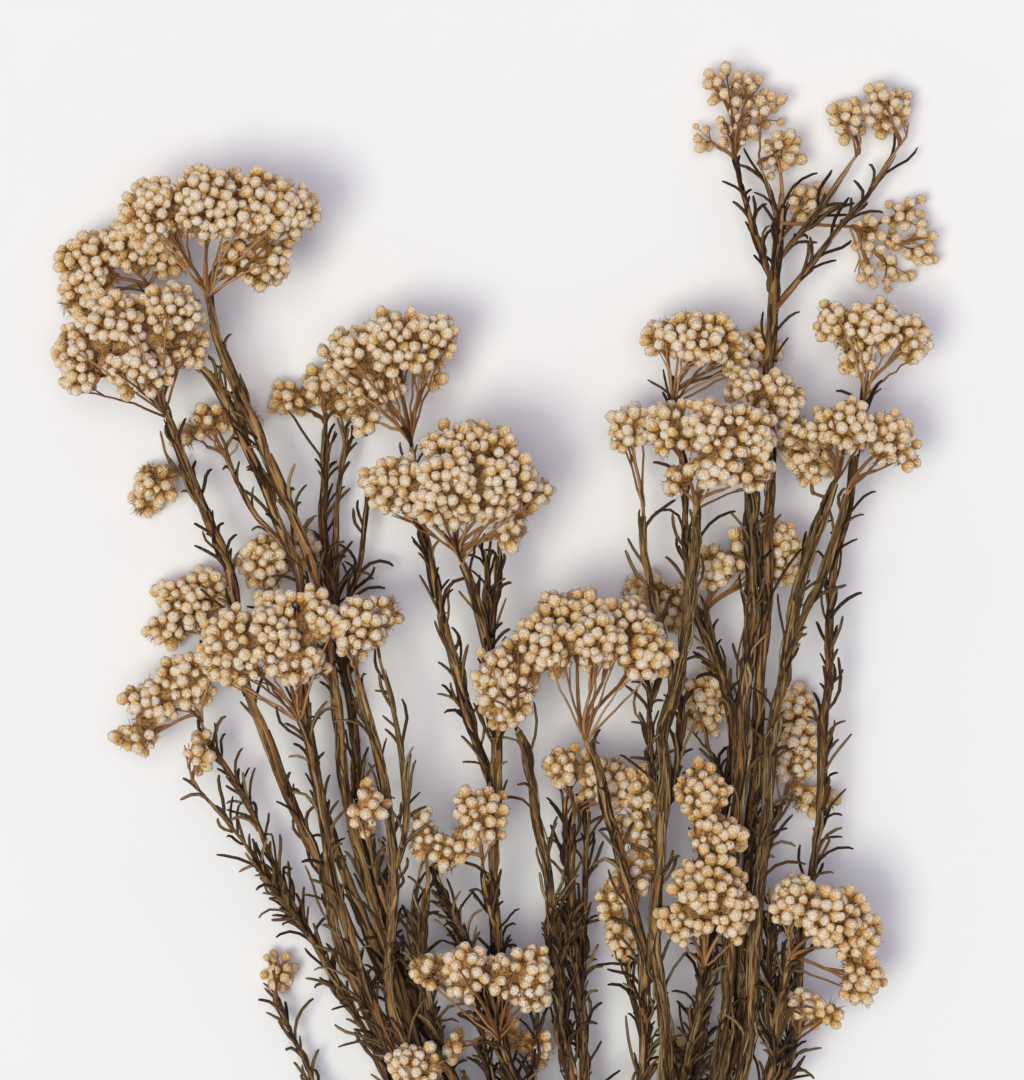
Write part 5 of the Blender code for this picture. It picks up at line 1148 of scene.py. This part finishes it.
def add_strands(pile, line, along, radii, count, mat, pale):
    """Long leaves and strips of bark that lie along the stem and partly round it."""
    lengths = rng.uniform(10, 26, count)
    at = rng.uniform(1, max(along[-1] - 12, 2), count)
    lengths = np.minimum(lengths, along[-1] - 4 - at)
    turn, twist = rng.uniform(0, math.tau, count), rng.normal(0, 0.7, count)
    wave, rise = rng.uniform(0, math.tau, count), rng.uniform(0.05, 1, count) ** 1.5
    low, high = (np.interp(length, along, line[:, 1]) for length in (at, at + lengths))
    clear = ((low > TIE_Y + 8) | (high < TIE_Y - 8)) & (low > CUT_Y + 3)
    lines = []
    for share in np.linspace(0, 1, len(STRAND_PROFILE)):
        here = at + lengths * share
        centres, _, first, second = frames_at(line, along, here)
        angle = turn + twist * share + 0.3 * np.sin(wave + 5 * share)
        room = 0.25 + 0.75 * fade(centres[:, 1], 40, 120)
        radius = np.interp(here, along, radii)
        room = room * np.clip(radius / 1.7, 0.3, 1) ** 2
        stand = mat * room * rise * math.sin(math.pi * min(share + 0.05, 1.0) ** 0.8)
        lines.append(centres + round_axis(angle, first, second) * (radius * 0.98 + 0.05 + stand)[:, None])
    lines = np.stack(lines, axis=1)
    tones = np.clip(pale + rng.normal(0, 0.22, count), 0, 1)
    widths = rng.uniform(0.7, 1.25, count) * np.clip(np.interp(at, along, radii) / 1.5, 0.6, 1)
    blades(pile, lines[clear], widths[clear], STRAND_PROFILE, tones[clear])


def make_tie():
    """Thin twine wound round the stems, then back across its own turns, and knotted on top."""
    pile = Pile()
    turns = np.linspace(0, 1, 360) * (TURNS + TURNS_BACK)
    angle = 0.9 + turns * math.tau
    reach = TIE_INNER + YARN * (0.5 + 0.62 * fade(turns, TURNS - 0.1, TURNS + 0.2))
    aside = np.interp(turns, (0, TURNS, TURNS + TURNS_BACK), (-0.5, 0.5, -0.35)) * (TIE_WIDTH - YARN)
    centre = np.column_stack([TIE_X + reach * np.cos(angle), TIE_Y + aside, TIE_Z + reach * np.sin(angle)])
    centre[:, 2] = np.maximum(centre[:, 2], YARN / 2)
    add_twine(pile, centre)
    top = np.array([TIE_X + 1.5, TIE_Y, TIE_Z + TIE_INNER + YARN])
    turn = np.linspace(0, math.tau * 0.97, 48)
    knot = np.column_stack([np.sin(turn) + 2 * np.sin(2 * turn), np.cos(turn) - 2 * np.cos(2 * turn),
                            1.2 + 0.9 * np.sin(3 * turn)])
    add_twine(pile, top + knot * 0.72)
    for side in (-1, 1):
        end = top + (side * 9.0, side * 8.0 + 3.0, -2.2)
        add_twine(pile, curved(top + (0, 0, 0.8), top + (side * 3.0, side * 6.0, 2.4), end, 14))
    pile.piece("Tie", "twine")


def add_twine(pile, centre):
    """Three yarns twisted round one line."""
    first, second = crosswise(unit(np.gradient(centre, axis=0)))
    for strand in range(3):
        turn = math.tau * (strand / 3 + lengths_along(centre) / LAY)
        path = centre + round_axis(turn, first, second) * YARN * 0.24
        pile.add_tube(path, YARN * 0.27, 6, "twine", 0.5, rng.uniform(0.3, 0.7))


def fill_tie(piles):
    """Strips of bark and thin broken shoots that the twine holds against the outer stems."""
    stems = [route for route in ROUTES if route.main]
    slots = np.array([[np.interp(TIE_Y, route.line[:, 1], route.line[:, axis]) for axis in (0, 2)]
                      for route in stems]) - (TIE_X, TIE_Z)
    placed = [np.array(slot) for slot in slots]
    sizes = [route.radii[0] for route in stems]
    for _ in range(FILLER_TRIES):
        angle, size = rng.uniform(0, math.tau), rng.uniform(0.6, 1.1)
        place = np.array([math.cos(angle), math.sin(angle)]) * (TIE_INNER - size - rng.uniform(0.05, 2.2))
        if any(np.linalg.norm(place - other) < size + taken for other, taken in zip(placed, sizes)):
            continue
        placed.append(place)
        sizes.append(size)
        host = int(np.linalg.norm(slots - place, axis=1).argmin())
        offset = place - slots[host]
        ys = np.linspace(TIE_Y - rng.uniform(8, 34), TIE_Y + rng.uniform(14, 42), len(FILLER_TAPER))
        line = np.column_stack([np.interp(ys, stems[host].line[:, 1], stems[host].line[:, axis])
                                for axis in range(3)])
        close = stems[host].radii[0] / np.linalg.norm(offset)
        hold = close + (1 - close) * (1 - fade(np.abs(ys - TIE_Y), 5, 26))
        line[:, 0] += offset[0] * hold
        line[:, 2] = np.maximum(line[:, 2] + offset[1] * hold, size + 0.1)
        points, faces, grains = tube(line, size * FILLER_TAPER, 7)
        piles[stems[host].stem].add(points, faces, "bark", 0.5, rng.uniform(0.35, 0.75),
                                    grains + (9.0 * host, 0, 0))


class Look:
    """A new material, and short ways to add its nodes."""

    def __init__(self, name, roughness):
        self.name = name
        self.material = bpy.data.materials.new(name)
        self.material.use_nodes = True
        self.shader = self.material.node_tree.nodes["Principled BSDF"]
        self.shader.inputs["Roughness"].default_value = roughness
        self.shader.inputs["Specular IOR Level"].default_value = 0.25

    def node(self, kind, output, inputs, **settings):
        """Adds a node with the named or numbered inputs, each a number or the output of another node."""
        made = self.material.node_tree.nodes.new(kind)
        for name, value in settings.items():
            setattr(made, name, value)
        for socket, value in inputs.items():
            if isinstance(value, bpy.types.NodeSocket):
                self.material.node_tree.links.new(value, made.inputs[socket])
            else:
                made.inputs[socket].default_value = value
        return made.outputs[output]

    def place(self):
        """The place of each point in metres."""
        return self.node("ShaderNodeTexCoord", "Object", {})

    def attribute(self, name, output="Fac"):
        """One of the values that a pile keeps for each point."""
        return self.node("ShaderNodeAttribute", output, {}, attribute_name=name)

    def maths(self, operation, *values):
        return self.node("ShaderNodeMath", 0, dict(enumerate(values)), operation=operation)

    def weighed(self, value, weight, rest):
        """The value times the weight, plus the rest."""
        return self.maths("MULTIPLY_ADD", value, weight, rest)

    def speckle(self, vector, scale, detail=3.0, roughness=0.6):
        """Random light and dark spots."""
        return self.node("ShaderNodeTexNoise", "Fac", {"Vector": vector, "Scale": scale, "Detail": detail,
                                                       "Roughness": roughness})

    def centred(self, value):
        """A value from 0 to 1, moved so that its middle lies at 0."""
        return self.maths("SUBTRACT", value, 0.5)

    def stretched(self, vector, scale):
        """Places multiplied by the scale along each axis."""
        return self.node("ShaderNodeMapping", "Vector", {"Vector": vector, "Scale": scale})

    def finished(self, share, height=None, distance=0.0, strength=0.0):
        """The material, coloured by the share, with the height as fine relief."""
        stops = COLORS[self.name]
        color = self.node("ShaderNodeValToRGB", "Color", {"Fac": share})
        elements = color.node.color_ramp.elements
        while len(elements) < len(stops):
            elements.new(0.5)
        for element, (place, tint) in zip(elements, stops):
            element.position = place
            element.color = (*tint, 1.0)
        links = self.material.node_tree.links
        links.new(color, self.shader.inputs["Base Color"])
        if height is not None:
            bump = self.node("ShaderNodeBump", "Normal", {"Height": height, "Distance": distance,
                                                          "Strength": strength})
            links.new(bump, self.shader.inputs["Normal"])
        return self.material


def bud_material():
    """Papery scales, tan at the base and in the creases and ivory at the tip."""
    look = Look("Dry_bud", 0.75)
    patches = look.speckle(look.place(), 950.0, 3.0, 0.7)
    edges = look.node("ShaderNodeTexVoronoi", "Distance", {"Scale": 900.0, "Vector": look.place()},
                      feature="DISTANCE_TO_EDGE")
    seams = look.maths("MINIMUM", look.maths("MULTIPLY", edges, 4.0), 1.0)
    share = look.weighed(look.attribute("tip"), 0.95, -0.16)
    share = look.weighed(look.centred(patches), 1.7, share)
    # The tone darkens a bud: at random, and as painted shade on inner buds and on heads in shade
    share = look.weighed(look.attribute("tone"), -0.6, share)
    share = look.weighed(seams, 0.22, share)
    return look.finished(share, look.weighed(seams, 0.35, patches), 0.0009, 0.9)


def core_material():
    """Brown husks and stalks, with fine light and dark grain."""
    look = Look("Husks", 0.9)
    grain = look.speckle(look.place(), 900.0, 4.0, 0.7)
    share = look.weighed(grain, 1.7, look.weighed(look.attribute("tone"), 0.5, -0.6))
    return look.finished(share, grain, 0.0012, 1.0)


def streaked(name, roughness, across, along, tone_weight, spread, distance):
    """A material with streaks that run along the stem."""
    look = Look(name, roughness)
    grain = look.attribute("grain", "Vector")
    streaks = look.speckle(look.stretched(grain, (across, across, along)), 1.0, 5.0, 0.65)
    blots = look.speckle(look.stretched(grain, (0.25, 0.25, 0.09)), 1.0)
    share = look.weighed(look.centred(streaks), spread, look.weighed(look.centred(blots), 0.8, 0.5))
    share = look.weighed(look.centred(look.attribute("tone")), tone_weight, share)
    return look.finished(share, streaks, distance, 0.9)


def leaf_material():
    """Dark mottled brown that turns olive where the tone is pale."""
    look = Look("Dry_leaf", 0.8)
    mottle = look.speckle(look.stretched(look.place(), (900.0, 260.0, 900.0)), 1.0)
    share = look.weighed(look.centred(mottle), 0.8, look.attribute("tone"))
    return look.finished(share, mottle, 0.0003, 0.8)


def wood_material():
    """Cut wood: a brown pith, pale wood with faint rings, and a dark rim."""
    look = Look("Cut_wood", 0.85)
    flat = look.stretched(look.attribute("grain", "Vector"), (1.0, 1.0, 0.0))
    length = look.node("ShaderNodeVectorMath", "Value", {0: flat}, operation="LENGTH")
    wobble = look.speckle(flat, 5.0)
    share = look.weighed(look.centred(wobble), 0.25, length)
    return look.finished(share, wobble, 0.0002, 0.6)


def soft_light(name, source, softness, strength, color):
    """Even light from far away, from the side that source points to."""
    light = bpy.data.lights.new(name, "SUN")
    light.angle, light.energy, light.color = softness, strength, color
    made = bpy.data.objects.new(name, light)
    made.location = source
    made.rotation_euler = (-Vector(source)).to_track_quat("-Z", "Y").to_euler()
    bpy.context.scene.collection.objects.link(made)


def make_stage():
    """The pale floor, the soft light from the lower left and above, and the camera that looks down."""
    middle = Vector((float((VIEW_X + SHIFT[0]) * MM), float((VIEW_Y + SHIFT[1]) * MM), 0.0))
    mesh = bpy.data.meshes.new("Floor")
    corners = [(x * FLOOR_HALF, y * FLOOR_HALF, 0) for x, y in ((-1, -1), (1, -1), (1, 1), (-1, 1))]
    mesh.from_pydata(corners, [], [(0, 1, 2, 3)])
    floor = bpy.data.objects.new("Floor", mesh)
    floor.location = middle
    bpy.context.scene.collection.objects.link(floor)
    look = Look("Paper", 0.9)
    mesh.materials.append(look.finished(look.speckle(look.place(), 30.0, 4.0)))
    world = bpy.data.worlds.new("Room")
    bpy.context.scene.world = world
    world.use_nodes = True
    background = world.node_tree.nodes["Background"]
    background.inputs["Color"].default_value = SKY
    background.inputs["Strength"].default_value = SKY_STRENGTH
    for light in LIGHTS:
        soft_light(*light)
    camera = bpy.data.objects.new("Camera", bpy.data.cameras.new("Camera"))
    camera.data.sensor_width = 36.0
    camera.data.lens = 200.0
    camera.data.clip_end = 20.0
    camera.location = middle + Vector((0, 0, VIEW_HEIGHT))
    bpy.context.scene.collection.objects.link(camera)
    bpy.context.scene.camera = camera
    bpy.context.scene.view_settings.view_transform = "Standard"


tie_low, tie_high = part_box("tie")
SHIFT = np.array([(tie_low.x + tie_high.x) / 2 / MM - TIE_X, (tie_low.y + tie_high.y) / 2 / MM - TIE_Y, 0.0])
MATERIALS = {
    "bud": bud_material(),
    "core": core_material(),
    "stalk": streaked("Stalk", 0.65, 2.2, 0.25, 0.9, 0.9, 0.0003),
    "bark": streaked("Bark", 0.75, 1.3, 0.085, 0.7, 1.9, 0.0007),
    "leaf": leaf_material(),
    "twine": streaked("Twine", 0.9, 2.0, 0.5, 0.6, 1.2, 0.0004),
    "wood": wood_material(),
}
LOOKS = list(MATERIALS)
LOBES = {number: np.array([*head[1], *DEEP_LOBES.get(number, ())], float)
         for number, head in enumerate(HEADS, 1)}
ALL_LOBES = np.vstack(list(LOBES.values()))
BUDS = [bud_template(10, 5, 0.11) for _ in range(8)]
INNER_BUD = bud_template(7, 4, 0.07)
CORE = bud_template(12, 7, 0.05)
ROUTES = laid_routes()
TWIG_LINES = [(stem, np.linspace(start, end, 8)) for stem, start, end in TWIGS]
FORKS = {tuple(route.top): (route.stem, route.line) for route in ROUTES}
FORKS.update({tuple(line[-1]): (stem, line) for stem, line in TWIG_LINES})
stem_points = [(point, radius) for route in ROUTES
               for place, radius in enumerate(route.line_r[:-1])
               for point in (route.line[place], (route.line[place] + route.line[place + 1]) / 2)]
STEM_R = [radius for _, radius in stem_points]
STEM_TREE = KDTree(len(stem_points))
for index, (point, _) in enumerate(stem_points):
    STEM_TREE.insert(point, index)
STEM_TREE.balance()

stem_piles = {number: Pile() for number in range(1, len(STEMS) + 1)}
for number in range(1, len(HEADS) + 1):
    make_head(number, stem_piles)
for route in ROUTES:
    dress_route(stem_piles[route.stem], route)
fill_tie(stem_piles)
for stem, lift, orange, shoot_points in SIDE_SHOOTS:
    habit = *SHOOT_LEAVES, orange, SHOOT_BARK_SHARE
    dress_route(stem_piles[stem], side_shoot(stem, lift, shoot_points), habit)
for stem, twig_line in TWIG_LINES:
    stem_piles[stem].add_tube(twig_line, np.linspace(0.7, 0.5, len(twig_line)), 8, "stalk", 0.3, 0.5)
for number, pile in stem_piles.items():
    pile.piece(f"Leafy_stem_{number:02d}", "stem")
make_tie()
make_stage()

bpy.context.view_layer.update()
